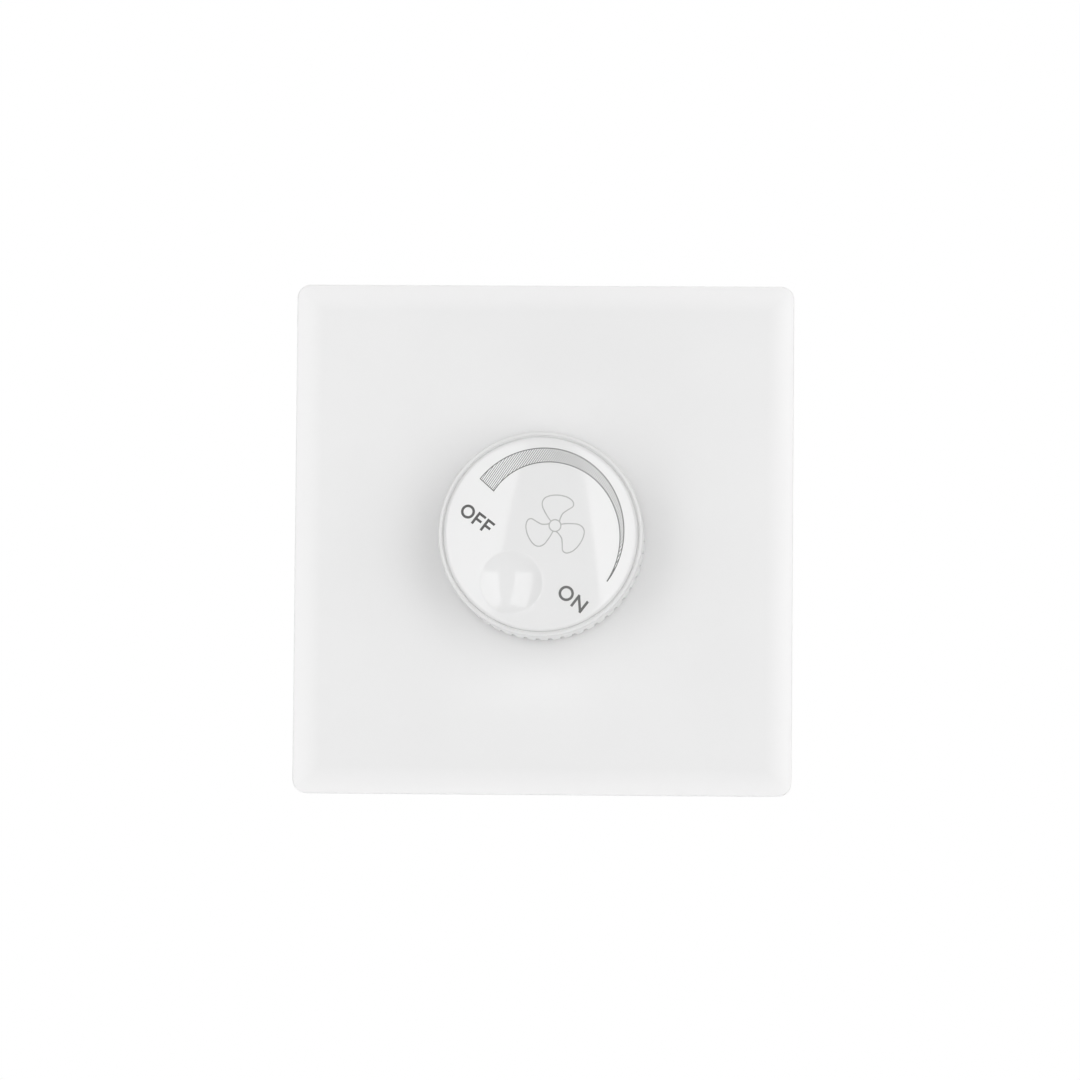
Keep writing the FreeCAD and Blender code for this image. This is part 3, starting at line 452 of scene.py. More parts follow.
# %% Finishes of the CAD nodes
steel_nodes = ["housing_screws", "pot_bushing", "pot_washer", "pot_nut", "pot_shaft", "pot_can"]
steel_nodes += ["heatsink_screw", "terminal_screws"]
film_capacitors = ["suppression_capacitor", "snubber_capacitor"]
resin_nodes = ["pot_rotor", "pot_switch", "triac_body"]
tinned_nodes = ["pot_pins", "triac_tab", "triac_leads"]
node_finishes = {
    "frame_white": ((0.80, 0.80, 0.79), 0.0, (0.42, 0.52), 0.25, ["mounting_frame"]),
    "housing_white": ((0.78, 0.78, 0.77), 0.0, (0.40, 0.52), 0.30, ["rear_housing"]),
    "zinc_steel": ((0.62, 0.63, 0.64), 1.0, (0.28, 0.42), 0.20, steel_nodes),
    "brass": ((0.78, 0.60, 0.30), 1.0, (0.25, 0.40), 0.20, ["pot_wiper", "terminal_clamps"]),
    "tinned": ((0.75, 0.75, 0.76), 1.0, (0.30, 0.45), 0.15, tinned_nodes),
    "brown_laminate": ((0.30, 0.17, 0.08), 0.0, (0.45, 0.60), 0.30, ["pot_wafer"]),
    "black_resin": ((0.035, 0.035, 0.037), 0.0, (0.40, 0.55), 0.30, resin_nodes),
    "board_green": ((0.05, 0.22, 0.10), 0.0, (0.25, 0.40), 0.20, ["circuit_board"]),
    "sheet_aluminium": ((0.78, 0.79, 0.80), 1.0, (0.32, 0.45), 0.25, ["heatsink"]),
    "ferrite": ((0.07, 0.07, 0.075), 0.0, (0.50, 0.70), 0.40, ["choke_core"]),
    "enamelled_copper": ((0.48, 0.17, 0.06), 0.6, (0.22, 0.35), 0.20, ["choke_winding"]),
    "cap_yellow": ((0.72, 0.50, 0.06), 0.0, (0.35, 0.45), 0.10, film_capacitors),
    "cap_red": ((0.40, 0.05, 0.035), 0.0, (0.25, 0.35), 0.10, ["timing_capacitor"]),
    "resistor_beige": ((0.60, 0.46, 0.28), 0.0, (0.35, 0.50), 0.15, ["resistors"]),
    "glass_body": ((0.55, 0.20, 0.09), 0.0, (0.08, 0.15), 0.05, ["diac"]),
    "fuse_body": ((0.78, 0.76, 0.70), 0.0, (0.30, 0.42), 0.15, ["fuse"]),
    "terminal_grey": ((0.22, 0.23, 0.24), 0.0, (0.38, 0.50), 0.25, ["terminal_line", "terminal_load"]),
}
metal_darkest = 0.94
plastic_darkest = 0.975

for name, (colour, metallic, roughness, grain, nodes) in node_finishes.items():
    is_metal = metallic == 1.0
    group = drawn_metal if is_metal else moulded_skin
    darkest = metal_darkest if is_metal else plastic_darkest
    material = finish(name, group, colour, darkest, roughness, grain, metallic)
    for node in nodes:
        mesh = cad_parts[node].data
        mesh.materials.clear()
        mesh.materials.append(material)
print("finished the CAD nodes with", len(node_finishes), "materials")

# %% [markdown]
# The cover plate is one white moulding. Its field is flat, and a border almost four millimetres wide
# falls away in a gentle arc to a small round at the edge. The border is painted a shade lighter than
# the field: painted light, for the light that the bright room throws on the edges. A mask from Object
# coordinates gives that: it is 0 on the field and rises to 1 at the outline.

# %% Plate sizes and finish
plate_low, plate_high = (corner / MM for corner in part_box("front_plate"))
plate_width = plate_high.x - plate_low.x
plate_height = plate_high.z - plate_low.z
plate_front = plate_low.y
border_width = 3.8
border_drop = 0.5
# Painted light: the border's lighter white stands in for light falling on the plate's edges.
painted_light_width = 4.6
field_white = (0.845, 0.845, 0.845)
edge_painted_light = (0.915, 0.912, 0.913)
white_darkest = 0.99


def border_light_mask():
    """A group that tells how far out on the border of the plate a point lies, for the painted light
    there.
    """
    tree = bpy.data.node_groups.new("border_light_mask", "ShaderNodeTree")
    add_socket(tree, "Mask", "NodeSocketFloat", "OUTPUT")
    x, _, z = parts_of(tree, object_place(tree))
    reaches = []
    for place, size in ((x, plate_width), (z, plate_height)):
        border = ((size / 2 - painted_light_width) * MM, size / 2 * MM)
        reaches.append(rescale(tree, calculate(tree, "ABSOLUTE", place), border))
    add_node(tree, "NodeGroupOutput", {"Mask": calculate(tree, "MAXIMUM", *reaches)})
    return tree


def plate_finish():
    """White moulding with painted light that makes its border lighter than its field."""
    material = finish(
        "plate_white",
        moulded_skin,
        field_white,
        white_darkest,
        roughness=(0.30, 0.36),
        grain=0.04,
        clouds=60.0,
    )
    mask = add_node(material.node_tree, "ShaderNodeGroup", node_tree=border_light_mask())
    paint_over(material, mask.outputs["Mask"], edge_painted_light)
    return material


print("plate", round(plate_width, 2), "by", round(plate_height, 2), "mm")

# %% [markdown]
# The plate could be a bevelled box, but the border's arc and the small round at its edge have different
# radii, and the flat field has to stay flat in the shading. So it is built as rings: the section is a
# list of stations, each an inset from the outline and a depth, and every station is drawn as one rounded
# rectangle.

# %% Plate section
plate_corner = 2.3
field_corner = 1.4
field_margin = 0.3
plate_edge_round = 0.2
plate_back_bevel = 0.15
plate_wall = 2.2
plate_skin = 2.4
plate_inside = plate_front + plate_skin
corner_steps = 14
border_steps = 10
plate_edge_steps = 8


def rounded_rectangle(inset, y):
    """The plate's outline at an inset, as points: four quarter circles joined by straight runs."""
    share = min(inset / border_width, 1.0)
    radius = plate_corner + (field_corner - plate_corner) * share
    across = plate_width / 2 - inset - radius
    up = plate_height / 2 - inset - radius
    points = []
    for quarter, (side_x, side_z) in enumerate(((1, 1), (1, -1), (-1, -1), (-1, 1))):
        for step in range(corner_steps + 1):
            turn = math.pi / 2 * (quarter + step / corner_steps)
            x = side_x * across + radius * math.sin(turn)
            z = side_z * up + radius * math.cos(turn)
            points.append((x, y, z))
    return points


def plate_stations():
    """(inset, depth) along the plate's section, from the field over the border to the inside."""
    arc = (border_width**2 + border_drop**2) / (2 * border_drop)
    lean = math.asin((border_width - plate_edge_round) / (arc - plate_edge_round))
    stations = [(border_width + field_margin, plate_front)]
    for turn in spaced(0.0, lean, border_steps):
        stations.append((border_width - arc * math.sin(turn), plate_front + arc * (1 - math.cos(turn))))
    round_y = plate_front + arc - (arc - plate_edge_round) * math.cos(lean)
    for turn in spaced(lean, math.pi / 2, plate_edge_steps)[1:]:
        inset = plate_edge_round * (1 - math.sin(turn))
        stations.append((inset, round_y - plate_edge_round * math.cos(turn)))
    stations += [(0.0, -plate_back_bevel), (plate_back_bevel, 0.0)]
    stations += [(plate_wall, 0.0), (plate_wall, plate_inside)]
    return stations


print("plate section:", len(plate_stations()), "stations of", len(rounded_rectangle(0.0, 0.0)), "points")

# %% [markdown]
# The front of the plate and its inside are flat faces with a round hole. Faces of bmesh have no holes, so
# an operator fills the space between the two outlines with triangles, which stay flat. The hole and the
# boss round it at the back are four more rings, with the sizes of the CAD model.

# %% Plate
pad_height = 1.2
plate_stop = plate_inside + pad_height
plate_hole = 8.5
plate_boss = 12.5
hole_steps = 96
plate_crease = 40.0


def fill_between(bm, outer, inner):
    """A flat face between an outline and a round hole."""
    edges = []
    for ring in (outer, inner):
        for index, vertex in enumerate(ring):
            after = ring[(index + 1) % len(ring)]
            edges.append(bm.edges.get((vertex, after)) or bm.edges.new((vertex, after)))
    bmesh.ops.triangle_fill(bm, use_beauty=True, edges=edges)


def plate_mesh():
    """The plate as one closed shell, with its shaft hole and the boss round it."""
    bm = bmesh.new()
    rings = [ring_of(bm, rounded_rectangle(inset, y)) for inset, y in plate_stations()]
    join_rings(bm, *rings)
    hole = [(plate_hole, plate_front), (plate_hole, plate_stop)]
    boss = [(plate_boss, plate_stop), (plate_boss, plate_inside)]
    bores = [ring_of(bm, around(radius, y, hole_steps)) for radius, y in hole + boss]
    join_rings(bm, *bores)
    fill_between(bm, rings[0], bores[0])
    fill_between(bm, rings[-1], bores[-1])
    return bm


plate_white = plate_finish()
plate = object_from("cover_plate", plate_mesh(), plate_white, plate_crease)
print("plate:", len(plate.data.polygons), "faces")

# %% [markdown]
# At the back the plate has four round pads that stop it against the frame, four snap hooks, and a notch
# in its bottom edge for prying it off. Pads and hooks are closed bars inside the same mesh, and a
# Boolean modifier cuts the notch.

# %% Pads, hooks and pry notch of the plate
pad_radius = 2.5
pad_x = 34.55
pad_z = 35.55
pad_steps = 24
pad_root = 0.2
hook_spacing = 46.0
hook_width = 8.0
hook_reach = 0.8
hook_front = -1.7
hook_tip = -1.3
hook_end = -0.4
hook_root = 0.3
notch_width = 9.0
notch_depth = 1.0
cutter_spare = 1.0


def add_prism(bm, section, along):
    """A closed bar: a flat section of points, pushed along a vector."""
    first = ring_of(bm, section)
    second = ring_of(bm, [Vector(point) + Vector(along) for point in section])
    join_rings(bm, first, second)
    bm.faces.new(first)
    bm.faces.new(second[::-1])


def plate_details():
    """The pads and the hooks, which start a little inside the plate."""
    bm = bmesh.new()
    for x, z in ((i * pad_x, k * pad_z) for i in (-1, 1) for k in (-1, 1)):
        section = around(pad_radius, plate_inside - pad_root, pad_steps, x, z)
        add_prism(bm, section, (0, pad_height + pad_root, 0))
    wall = plate_height / 2 - plate_wall
    for side in (-1, 1):
        for x in (-hook_spacing / 2, hook_spacing / 2):
            start = x - hook_width / 2
            section = [
                (start, hook_front, side * (wall + hook_root)),
                (start, hook_front, side * (wall - hook_reach)),
                (start, hook_tip, side * (wall - hook_reach)),
                (start, hook_end, side * wall),
                (start, hook_end, side * (wall + hook_root)),
            ]
            add_prism(bm, section, (hook_width, 0, 0))
    return bm


def cut_notch(piece):
    """Takes the pry notch out of the bottom wall of the plate."""
    half = notch_width / 2
    low = -plate_height / 2 - cutter_spare
    corners = [(-half, -notch_depth), (half, -notch_depth), (half, cutter_spare), (-half, cutter_spare)]
    bm = bmesh.new()
    add_prism(bm, [(x, y, low) for x, y in corners], (0, 0, plate_wall + 2 * cutter_spare))
    cutter = object_from("notch_cutter", bm, plate_white)
    cut = piece.modifiers.new("notch", "BOOLEAN")
    cut.operation = "DIFFERENCE"
    cut.solver = "EXACT"
    cut.object = cutter
    baked(piece, plate_crease)
    bpy.data.objects.remove(cutter)


cut_notch(plate)
bm = plate_details()
bmesh.ops.recalc_face_normals(bm, faces=bm.faces[:])
bm.from_mesh(plate.data)
bm.to_mesh(plate.data)
bm.free()
crease(plate.data, plate_crease)
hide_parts("front_plate")
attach(plate, "base")
print("plate with details:", len(plate.data.polygons), "faces")

# %% [markdown]
# The knob has a skirt with a thin lip at its front, a groove inside the lip, a web that carries the
# face, and a hub that grips the shaft. Its outer size and place are read from the CAD model. The flutes
# have the sizes of the CAD part, and the lip is a touch wider, as the picture shows it.

# %% Knob sizes
knob_low, knob_high = (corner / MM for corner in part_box("knob_body"))
knob_radius = (knob_high.x - knob_low.x) / 2
knob_base = knob_high.y
knob_top = knob_low.y
rest_clock = math.radians(210.0)
lip_width = 0.68
lip_round = 0.3
groove_radius = knob_radius - lip_width
groove_bevel = 0.15
groove_depth = 0.3
ledge_width = 0.19
ledge_radius = groove_radius - ledge_width
base_bevel = 0.3
seat_depth = 1.6
knob_seat = knob_top + seat_depth
web_thickness = 1.8
knob_underside = knob_seat + web_thickness
skirt_wall = 2.0
skirt_inside = knob_radius - skirt_wall
hub_radius = 5.0
hub_gap = 0.6
hub_end = knob_base - hub_gap
bore_radius = 3.05
bore_depth = 0.5
bore_end = knob_underside - bore_depth
flute_count = 52
flute_floor = 0.5
flute_depth = 0.24
flute_length = 10.5
flank_angle = math.radians(40.0)
print("skirt radius", round(knob_radius, 2), "mm, from", round(knob_base, 2), "to", round(knob_top, 2))

# %% [markdown]
# The skirt is moulded in white plastic, like the plate. Its walls are painted lighter than its lip: this
# is painted light, for the light that reaches them from below. The groove and the flutes at the base
# are painted darker: this is painted shade. Three masks give that: one from the depth in Object
# coordinates, one from the distance to the axis, and one from an attribute that the flutes leave behind.

# %% Knob finish
lip_white = (0.765, 0.765, 0.763)
# Painted light: the walls below the lip get a lighter white than the lip.
wall_painted_light = (0.86, 0.86, 0.858)
flute_painted_shade = (0.42, 0.42, 0.418)
groove_painted_shade = (0.76, 0.76, 0.755)
lip_fade = 1.0
groove_fade = 0.03
flute_fade = (0.5, 0.95)


def soft_mask(tree, value, low, high):
    """A smooth mask that is 0 at low and 1 at high."""
    return rescale(tree, value, (low, high), interpolation_type="SMOOTHSTEP")


def knob_finish():
    """White plastic with painted light on the walls below the lip, and painted shade in the flutes and
    groove.
    """
    material = finish(
        "knob_white",
        moulded_skin,
        lip_white,
        white_darkest,
        roughness=(0.42, 0.50),
        grain=0.03,
        specular=0.42,
    )
    tree = material.node_tree
    x, y, z = parts_of(tree, object_place(tree))
    painted_wall_light_mask = soft_mask(tree, y, knob_top * MM, (knob_top + lip_fade) * MM)
    # Painted light on the walls below the lip.
    paint_over(material, painted_wall_light_mask, wall_painted_light)
    depth = add_node(tree, "ShaderNodeAttribute", attribute_name="flute_depth").outputs["Fac"]
    # Painted shade in the flutes, darkest at the base.
    paint_over(material, soft_mask(tree, depth, *flute_fade), flute_painted_shade)
    flat = vector_of(tree, x, 0.0, z)
    reach = add_node(tree, "ShaderNodeVectorMath", {0: flat}, operation="LENGTH").outputs["Value"]
    groove_ends = [(groove_radius + fade) * MM for fade in (groove_fade, -groove_fade)]
    # Painted shade in the groove inside the lip.
    paint_over(material, soft_mask(tree, reach, *groove_ends), groove_painted_shade)
    return material


knob_white = knob_finish()
print("knob finish:", len(knob_white.node_tree.nodes), "nodes")

# %% [markdown]
# The skirt is a turned part, so it could be spun from its section. Here the section goes round as a list
# of (radius, y) corners, and each becomes a ring of points, because then the points of a ring can lie
# where the flutes need them: close together on the flanks, and wide apart on the land between two
# flutes.

# %% Knob skirt, plain
flute_offsets = (0.12, 0.25, 0.30, 0.35, 0.40, 0.45, 0.65, 0.86)
groove_bevel_steps = 4
lip_steps = 6
wall_steps = 16
knob_crease = 30.0


def skirt_section():
    """Corners of the skirt's section, from the seat of the face over the lip and down to the bore."""
    section = [
        (ledge_radius, knob_seat),
        (ledge_radius, knob_top + groove_depth),
        (groove_radius, knob_top + groove_depth),
        (groove_radius, knob_top + groove_bevel),
    ]
    for turn in spaced(0.0, math.pi / 2, groove_bevel_steps)[1:]:
        radius = groove_radius + groove_bevel * (1 - math.cos(turn))
        section.append((radius, knob_top + groove_bevel * (1 - math.sin(turn))))
    for turn in spaced(0.0, math.pi / 2, lip_steps):
        radius = knob_radius - lip_round * (1 - math.sin(turn))
        section.append((radius, knob_top + lip_round * (1 - math.cos(turn))))
    run_out = knob_base - flute_length
    section.append((knob_radius, (knob_top + lip_round + run_out) / 2))
    section += [(knob_radius, y) for y in spaced(run_out, knob_base - base_bevel, wall_steps)]
    section += [
        (knob_radius - base_bevel, knob_base),
        (skirt_inside, knob_base),
        (skirt_inside, knob_underside),
        (hub_radius, knob_underside),
        (hub_radius, hub_end),
        (bore_radius, hub_end),
        (bore_radius, bore_end),
    ]
    return section


def flute_clocks():
    """Angles round the knob: for each flute, points on both sides of its middle."""
    offsets = [-offset for offset in flute_offsets[::-1]] + list(flute_offsets)
    middles = [rest_clock + 2 * math.pi * index / flute_count for index in range(flute_count)]
    return [middle + offset / knob_radius for middle in middles for offset in offsets]


def skirt_mesh():
    """The skirt as one closed shell, still without flutes."""
    bm = bmesh.new()
    clocks = flute_clocks()
    rings = []
    for radius, y in skirt_section():
        rings.append(ring_of(bm, [(radius * math.sin(t), y, radius * math.cos(t)) for t in clocks]))
    join_rings(bm, *rings)
    bm.faces.new(rings[0])
    bm.faces.new(rings[-1][::-1])
    return bm


skirt = object_from("knob_skirt", skirt_mesh(), knob_white, knob_crease)
print("skirt:", len(skirt.data.polygons), "faces before fluting")

# %% [markdown]
# What repeats on the knob is made with Geometry Nodes. Each tree has the same kinds of inputs, a
# geometry, named sizes and a material, and the same end: real geometry instead of instances, with the
# material on it. So helpers make the start and the end of a tree, and one more runs a tree on a piece and
# keeps the result as plain mesh. A modifier knows its inputs only by their sockets' identifiers, so they
# are set by those.

# %% Geometry Nodes helpers


def geometry_tree(name, sizes):
    """A Geometry Nodes tree with named sizes, and its inputs: geometry, material and a list of sizes."""
    tree = bpy.data.node_groups.new(name, "GeometryNodeTree")
    add_socket(tree, "Geometry", "NodeSocketGeometry", "INPUT")
    for size in sizes:
        add_socket(tree, size, "NodeSocketFloat", "INPUT")
    add_socket(tree, "Material", "NodeSocketMaterial", "INPUT")
    add_socket(tree, "Geometry", "NodeSocketGeometry", "OUTPUT")
    given = add_node(tree, "NodeGroupInput").outputs
    return tree, given["Geometry"], given["Material"], [given[size] for size in sizes]


def end_tree(tree, geometry, material):
    """The last nodes of every tree: real geometry with its material."""
    real = add_node(tree, "GeometryNodeRealizeInstances", {"Geometry": geometry}).outputs["Geometry"]
    paint = add_node(tree, "GeometryNodeSetMaterial", {"Geometry": real, "Material": material})
    add_node(tree, "NodeGroupOutput", {"Geometry": paint.outputs["Geometry"]})


def use_tree(piece, tree, values):
    """Runs a tree on a piece, with its inputs set by their sockets' identifiers."""
    modifier = piece.modifiers.new(tree.name, "NODES")
    modifier.node_group = tree
    for socket in tree.interface.items_tree:
        if socket.in_out == "INPUT" and socket.name in values:
            modifier[socket.identifier] = values[socket.name]
    baked(piece, knob_crease)


def point_places(tree):
    """X, Y and Z of each point of a geometry."""
    return parts_of(tree, add_node(tree, "GeometryNodeInputPosition").outputs["Position"])


print("tree helpers ready")

# %% [markdown]
# Fifty-two flutes give the fingers a hold. Each is a straight groove with sloping flanks, deepest at the
# base, that runs out before the lip. They could be cut one by one. But they follow a rule, so a tree
# carves them all: the angle of a point tells how far it is from the middle of the nearest flute, its
# height tells how deep the flute is there, and the point moves inwards to that depth. The depth at that
# height, as a share of the deepest, stays on the mesh as an attribute for the painted shade of the
# finish.

# %% Flutes


def flute_tree():
    """Moves each point of the wall inwards to the depth of the nearest flute."""
    names = ["Radius", "Base", "Count", "Start", "Depth", "Length", "Floor", "Flank Slope"]
    tree, shape, material, sizes = geometry_tree("flutes", names)
    outer, base, count, start, deepest, length, floor_width, slope = sizes
    subtract, multiply, divide = operations(tree, "SUBTRACT", "MULTIPLY", "DIVIDE")
    larger, smaller, above = operations(tree, "MAXIMUM", "MINIMUM", "GREATER_THAN")
    x, y, z = point_places(tree)
    radius = calculate(tree, "SQRT", calculate(tree, "MULTIPLY_ADD", x, x, multiply(z, z)))
    clock = subtract(calculate(tree, "ARCTAN2", x, z), start)
    turn = multiply(divide(clock, 2 * math.pi), count)
    from_middle = subtract(turn, calculate(tree, "ROUND", turn))
    pitch = divide(multiply(outer, 2 * math.pi), count)
    sideways = calculate(tree, "ABSOLUTE", multiply(from_middle, pitch))
    on_flank = subtract(sideways, multiply(floor_width, 0.5))
    rise = multiply(larger(on_flank, 0.0), slope)
    left = subtract(1.0, divide(subtract(base, y), length))
    cut = subtract(multiply(deepest, left), rise)
    carved = subtract(outer, larger(cut, 0.0))
    scale = divide(smaller(carved, radius), radius)
    place = vector_of(tree, multiply(x, scale), y, multiply(z, scale))
    move = add_node(tree, "GeometryNodeSetPosition", {"Geometry": shape, "Position": place})
    on_wall = above(radius, subtract(outer, deepest))
    share = multiply(multiply(left, above(cut, 0.0)), on_wall)
    noted = {"Geometry": move.outputs["Geometry"], "Name": "flute_depth", "Value": share}
    store = add_node(tree, "GeometryNodeStoreNamedAttribute", noted)
    end_tree(tree, store.outputs["Geometry"], material)
    return tree


flute_values = {
    "Radius": knob_radius * MM,
    "Base": knob_base * MM,
    "Count": float(flute_count),
    "Start": rest_clock,
    "Depth": flute_depth * MM,
    "Length": flute_length * MM,
    "Floor": flute_floor * MM,
    "Flank Slope": 1.0 / math.tan(flank_angle),
    "Material": knob_white,
}
use_tree(skirt, flute_tree(), flute_values)
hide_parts("knob_body")
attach(skirt, "knob")
print("skirt:", len(skirt.data.polygons), "faces with", flute_count, "flutes")

# %% [markdown]
# The face of the knob is a separate glossy cap. It is a shallow dome with a round edge, and near its rim
# a finger dimple is pressed into it. Cutting a sphere out of a dome leaves a knife edge, where the real
# moulding has a soft one. So the surface is a formula: the deeper of dome and dish, blended over a tenth
# of a millimetre.

# %% Surface of the knob face
face_low, face_high = (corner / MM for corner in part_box("knob_face"))
crown_y = face_low.y
dome_radius = 90.0
dimple_radius = 5.3
dimple_depth = 1.2
dimple_offset = 9.7
dimple_blend = 0.11

dish_radius = (dimple_radius**2 + dimple_depth**2) / (2 * dimple_depth)
dimple_tilt = math.asin(dimple_offset / dome_radius)
rim_distance = math.sqrt(dome_radius**2 - dimple_radius**2)
rim_reach = rim_distance * math.sin(dimple_tilt)
dimple_x = rim_reach * math.sin(rest_clock)
dimple_z = rim_reach * math.cos(rest_clock)
dish_distance = rim_distance + dish_radius - dimple_depth
dish_reach = dish_distance * math.sin(dimple_tilt)
dish_x = dish_reach * math.sin(rest_clock)
dish_z = dish_reach * math.cos(rest_clock)
dish_y = crown_y + dome_radius - dish_distance * math.cos(dimple_tilt)


def dome_y(x, z):
    """Depth of the dome's surface at a place on the face."""
    return crown_y + dome_radius - math.sqrt(dome_radius**2 - x**2 - z**2)


def face_y(x, z):
    """Depth of the face: the deeper of dome and dish, with a soft edge where they meet."""
    dome = dome_y(x, z)
    squared = dish_radius**2 - (x - dish_x) ** 2 - (z - dish_z) ** 2
    if squared <= 0:
        return dome
    dish = dish_y + math.sqrt(squared)
    overlap = max(dimple_blend - abs(dome - dish), 0.0) / dimple_blend
    return max(dome, dish) + dimple_blend * overlap**2 / 4


print("dish radius", round(dish_radius, 2), "mm, crown at", round(crown_y, 3))

# %% [markdown]
# A grid or a spun dome would let the rim of the dimple cut across its faces. So the rings start in the
# dimple and slide outwards until they are round the knob's axis, and the mesh follows both rims. The cap
# has a little play in the groove, and its finish is the glossiest of the switch.

# %% Knob face
face_play = 0.08
face_radius = (face_high.x - face_low.x) / 2 - face_play
face_edge_round = 0.85
rim_inside = 1.0
rim_outside = 0.3
face_points = 224
dish_steps = 12
rim_steps = 16
face_steps = 24
face_edge_steps = 10
face_crease = 50.0
face_colour = (0.832, 0.832, 0.832)
face_darkest = 0.994


def face_rings():
    """Points of the rings over the face, from the middle of the dimple to the round edge."""
    lean = math.asin((face_radius - face_edge_round) / (dome_radius - face_edge_round))
    shoulder = dome_radius * math.sin(lean)
    rim_start = dimple_radius - rim_inside
    rim_end = dimple_radius + rim_outside
    radii = spaced(0.0, rim_start, dish_steps)[1:] + spaced(rim_start, rim_end, rim_steps)[1:]
    circles = [(dimple_x, dimple_z, radius) for radius in radii]
    for share in spaced(0.0, 1.0, face_steps)[1:]:
        left = 1 - share
        circles.append((dimple_x * left, dimple_z * left, rim_end + (shoulder - rim_end) * share))
    rings = []
    for x, z, radius in circles:
        flat = around(radius, 0.0, face_points, x, z)
        rings.append([(px, face_y(px, pz), pz) for px, _, pz in flat])
    edge_y = crown_y + dome_radius - (dome_radius - face_edge_round) * math.cos(lean)
    for turn in spaced(lean, math.pi / 2, face_edge_steps)[1:]:
        radius = face_radius - face_edge_round * (1 - math.sin(turn))
        rings.append(around(radius, edge_y - face_edge_round * math.cos(turn), face_points))
    rings.append(around(face_radius, knob_seat, face_points))
    return rings


def face_mesh():
    """The cap as one closed shell, with a fan of triangles in the middle of the dimple."""
    bm = bmesh.new()
    rings = [ring_of(bm, points) for points in face_rings()]
    middle = bm.verts.new(Vector((dimple_x, face_y(dimple_x, dimple_z), dimple_z)) * MM)
    for index in range(face_points):
        bm.faces.new((middle, rings[0][index], rings[0][(index + 1) % face_points]))
    join_rings(bm, *rings)
    bm.faces.new(rings[-1])
    return bm


face_white = finish(
    "face_white",
    moulded_skin,
    face_colour,
    face_darkest,
    roughness=(0.05, 0.07),
    grain=0.01,
    specular=0.48,
)
knob_face = object_from("knob_cap", face_mesh(), face_white, face_crease)
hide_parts("knob_face")
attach(knob_face, "knob")
print("face:", len(knob_face.data.polygons), "faces")

# %% [markdown]
# The face carries a grey print: the words OFF and ON, a band that narrows as the speed goes up, and the
# outline of a fan. Print is a film of ink, so each mark is a closed strip about a hundredth of a
# millimetre high that lies on the dome and goes a little into it. All marks are drawn flat, upright and
# round the knob's axis, then turned to the knob's rest angle and laid on the dome by one function.

# %% Ink and print helpers
print_turn = math.radians(34.0)
ink_height = 0.008
ink_sink = 0.02
ink_darkest = 0.85
mitre_limit = 0.4
longest_step = 0.3


def on_face(x, z, lift):
    """A flat print point, turned to the rest angle and laid on the dome."""
    turned_x = x * math.cos(print_turn) + z * math.sin(print_turn)
    turned_z = z * math.cos(print_turn) - x * math.sin(print_turn)
    return (turned_x, dome_y(turned_x, turned_z) - lift, turned_z)


def ink(name, colour):
    """Matt grey ink with a slightly uneven cover."""
    cover = {"roughness": (0.35, 0.5), "grain": 0.1, "clouds": 900.0}
    return finish(name, moulded_skin, colour, ink_darkest, **cover)


def sideways_of(path, index, closed):
    """The mitred sideways vector of a path at one of its points, for a strip of half-width one."""
    here = Vector(path[index])
    arriving = (here - Vector(path[index - 1])).normalized()
    leaving = (Vector(path[(index + 1) % len(path)]) - here).normalized()
    if not closed and index == 0:
        arriving = leaving
    if not closed and index == len(path) - 1:
        leaving = arriving
    along = (arriving + leaving).normalized()
    across = Vector((along.y, -along.x))
    return across / max(across.dot(Vector((leaving.y, -leaving.x))), mitre_limit)


def stepped(start, end):
    """Points of a straight stroke, close enough together to follow the dome."""
    count = math.ceil(math.dist(start, end) / longest_step)
    return list(zip(*(spaced(a, b, count) for a, b in zip(start, end))))


def add_strip(bm, path, width, closed=False):
    """A closed film of ink along a flat path of (x, z) points; an open path ends square."""
    sections = []
    for index, (x, z) in enumerate(path):
        side = sideways_of(path, index, closed) * width / 2
        corners = []
        for sign, lift in ((1, ink_height), (-1, ink_height), (-1, -ink_sink), (1, -ink_sink)):
            corners.append(on_face(x + sign * side.x, z + sign * side.y, lift))
        sections.append(ring_of(bm, corners))
    join_rings(bm, *sections)
    if closed:
        join_rings(bm, sections[-1], sections[0])
    else:
        bm.faces.new(sections[0])
        bm.faces.new(sections[-1][::-1])


def printed(name, bm, material):
    """Finishes a print mark and lets it ride on the knob."""
    mark = object_from(name, bm, material)
    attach(mark, "knob")
    return mark


print("print turned by", round(math.degrees(print_turn), 1), "degrees")

# %% [markdown]
# The letters are a plain sans: an O is a ring, and an F and an N are straight strokes with square ends.
# Each letter is a width and a list of strokes, which are paths from its lower left corner, closed or
# open. A word is letters set side by side.

# %% Words
letter_height = 2.4
letter_stroke = 0.44
word_turn = math.radians(3.7)
off_gap = 0.34
on_gap = 0.44
off_round = 2.4
on_round = 2.6
off_middle = (-10.37, -3.98)
on_middle = (10.72, -6.0)
letter_points = 40
stem = letter_stroke / 2
top_line = letter_height - stem
f_width = 0.66 * letter_height
f_arm = 0.9 * f_width
f_arm_line = 0.47 * letter_height
n_width = 0.92 * letter_height
n_stem = n_width - stem


def round_letter(size):
    """An O as wide as a given size, centred on the height of the letters."""
    ring = around((size - letter_stroke) / 2, 0.0, letter_points, size / 2, letter_height / 2)
    return size, [([(x, z) for x, _, z in ring], True)]


def straight_letter(width, *lines):
    """A letter of straight strokes, each given by its two ends."""
    return width, [(stepped(*line), False) for line in lines]


def turned_about(middle, x, z):
    """A point of a word, given from the word's middle, turned with the word and set in its place."""
    return (
        middle[0] + x * math.cos(word_turn) + z * math.sin(word_turn),
        middle[1] + z * math.cos(word_turn) - x * math.sin(word_turn),
    )


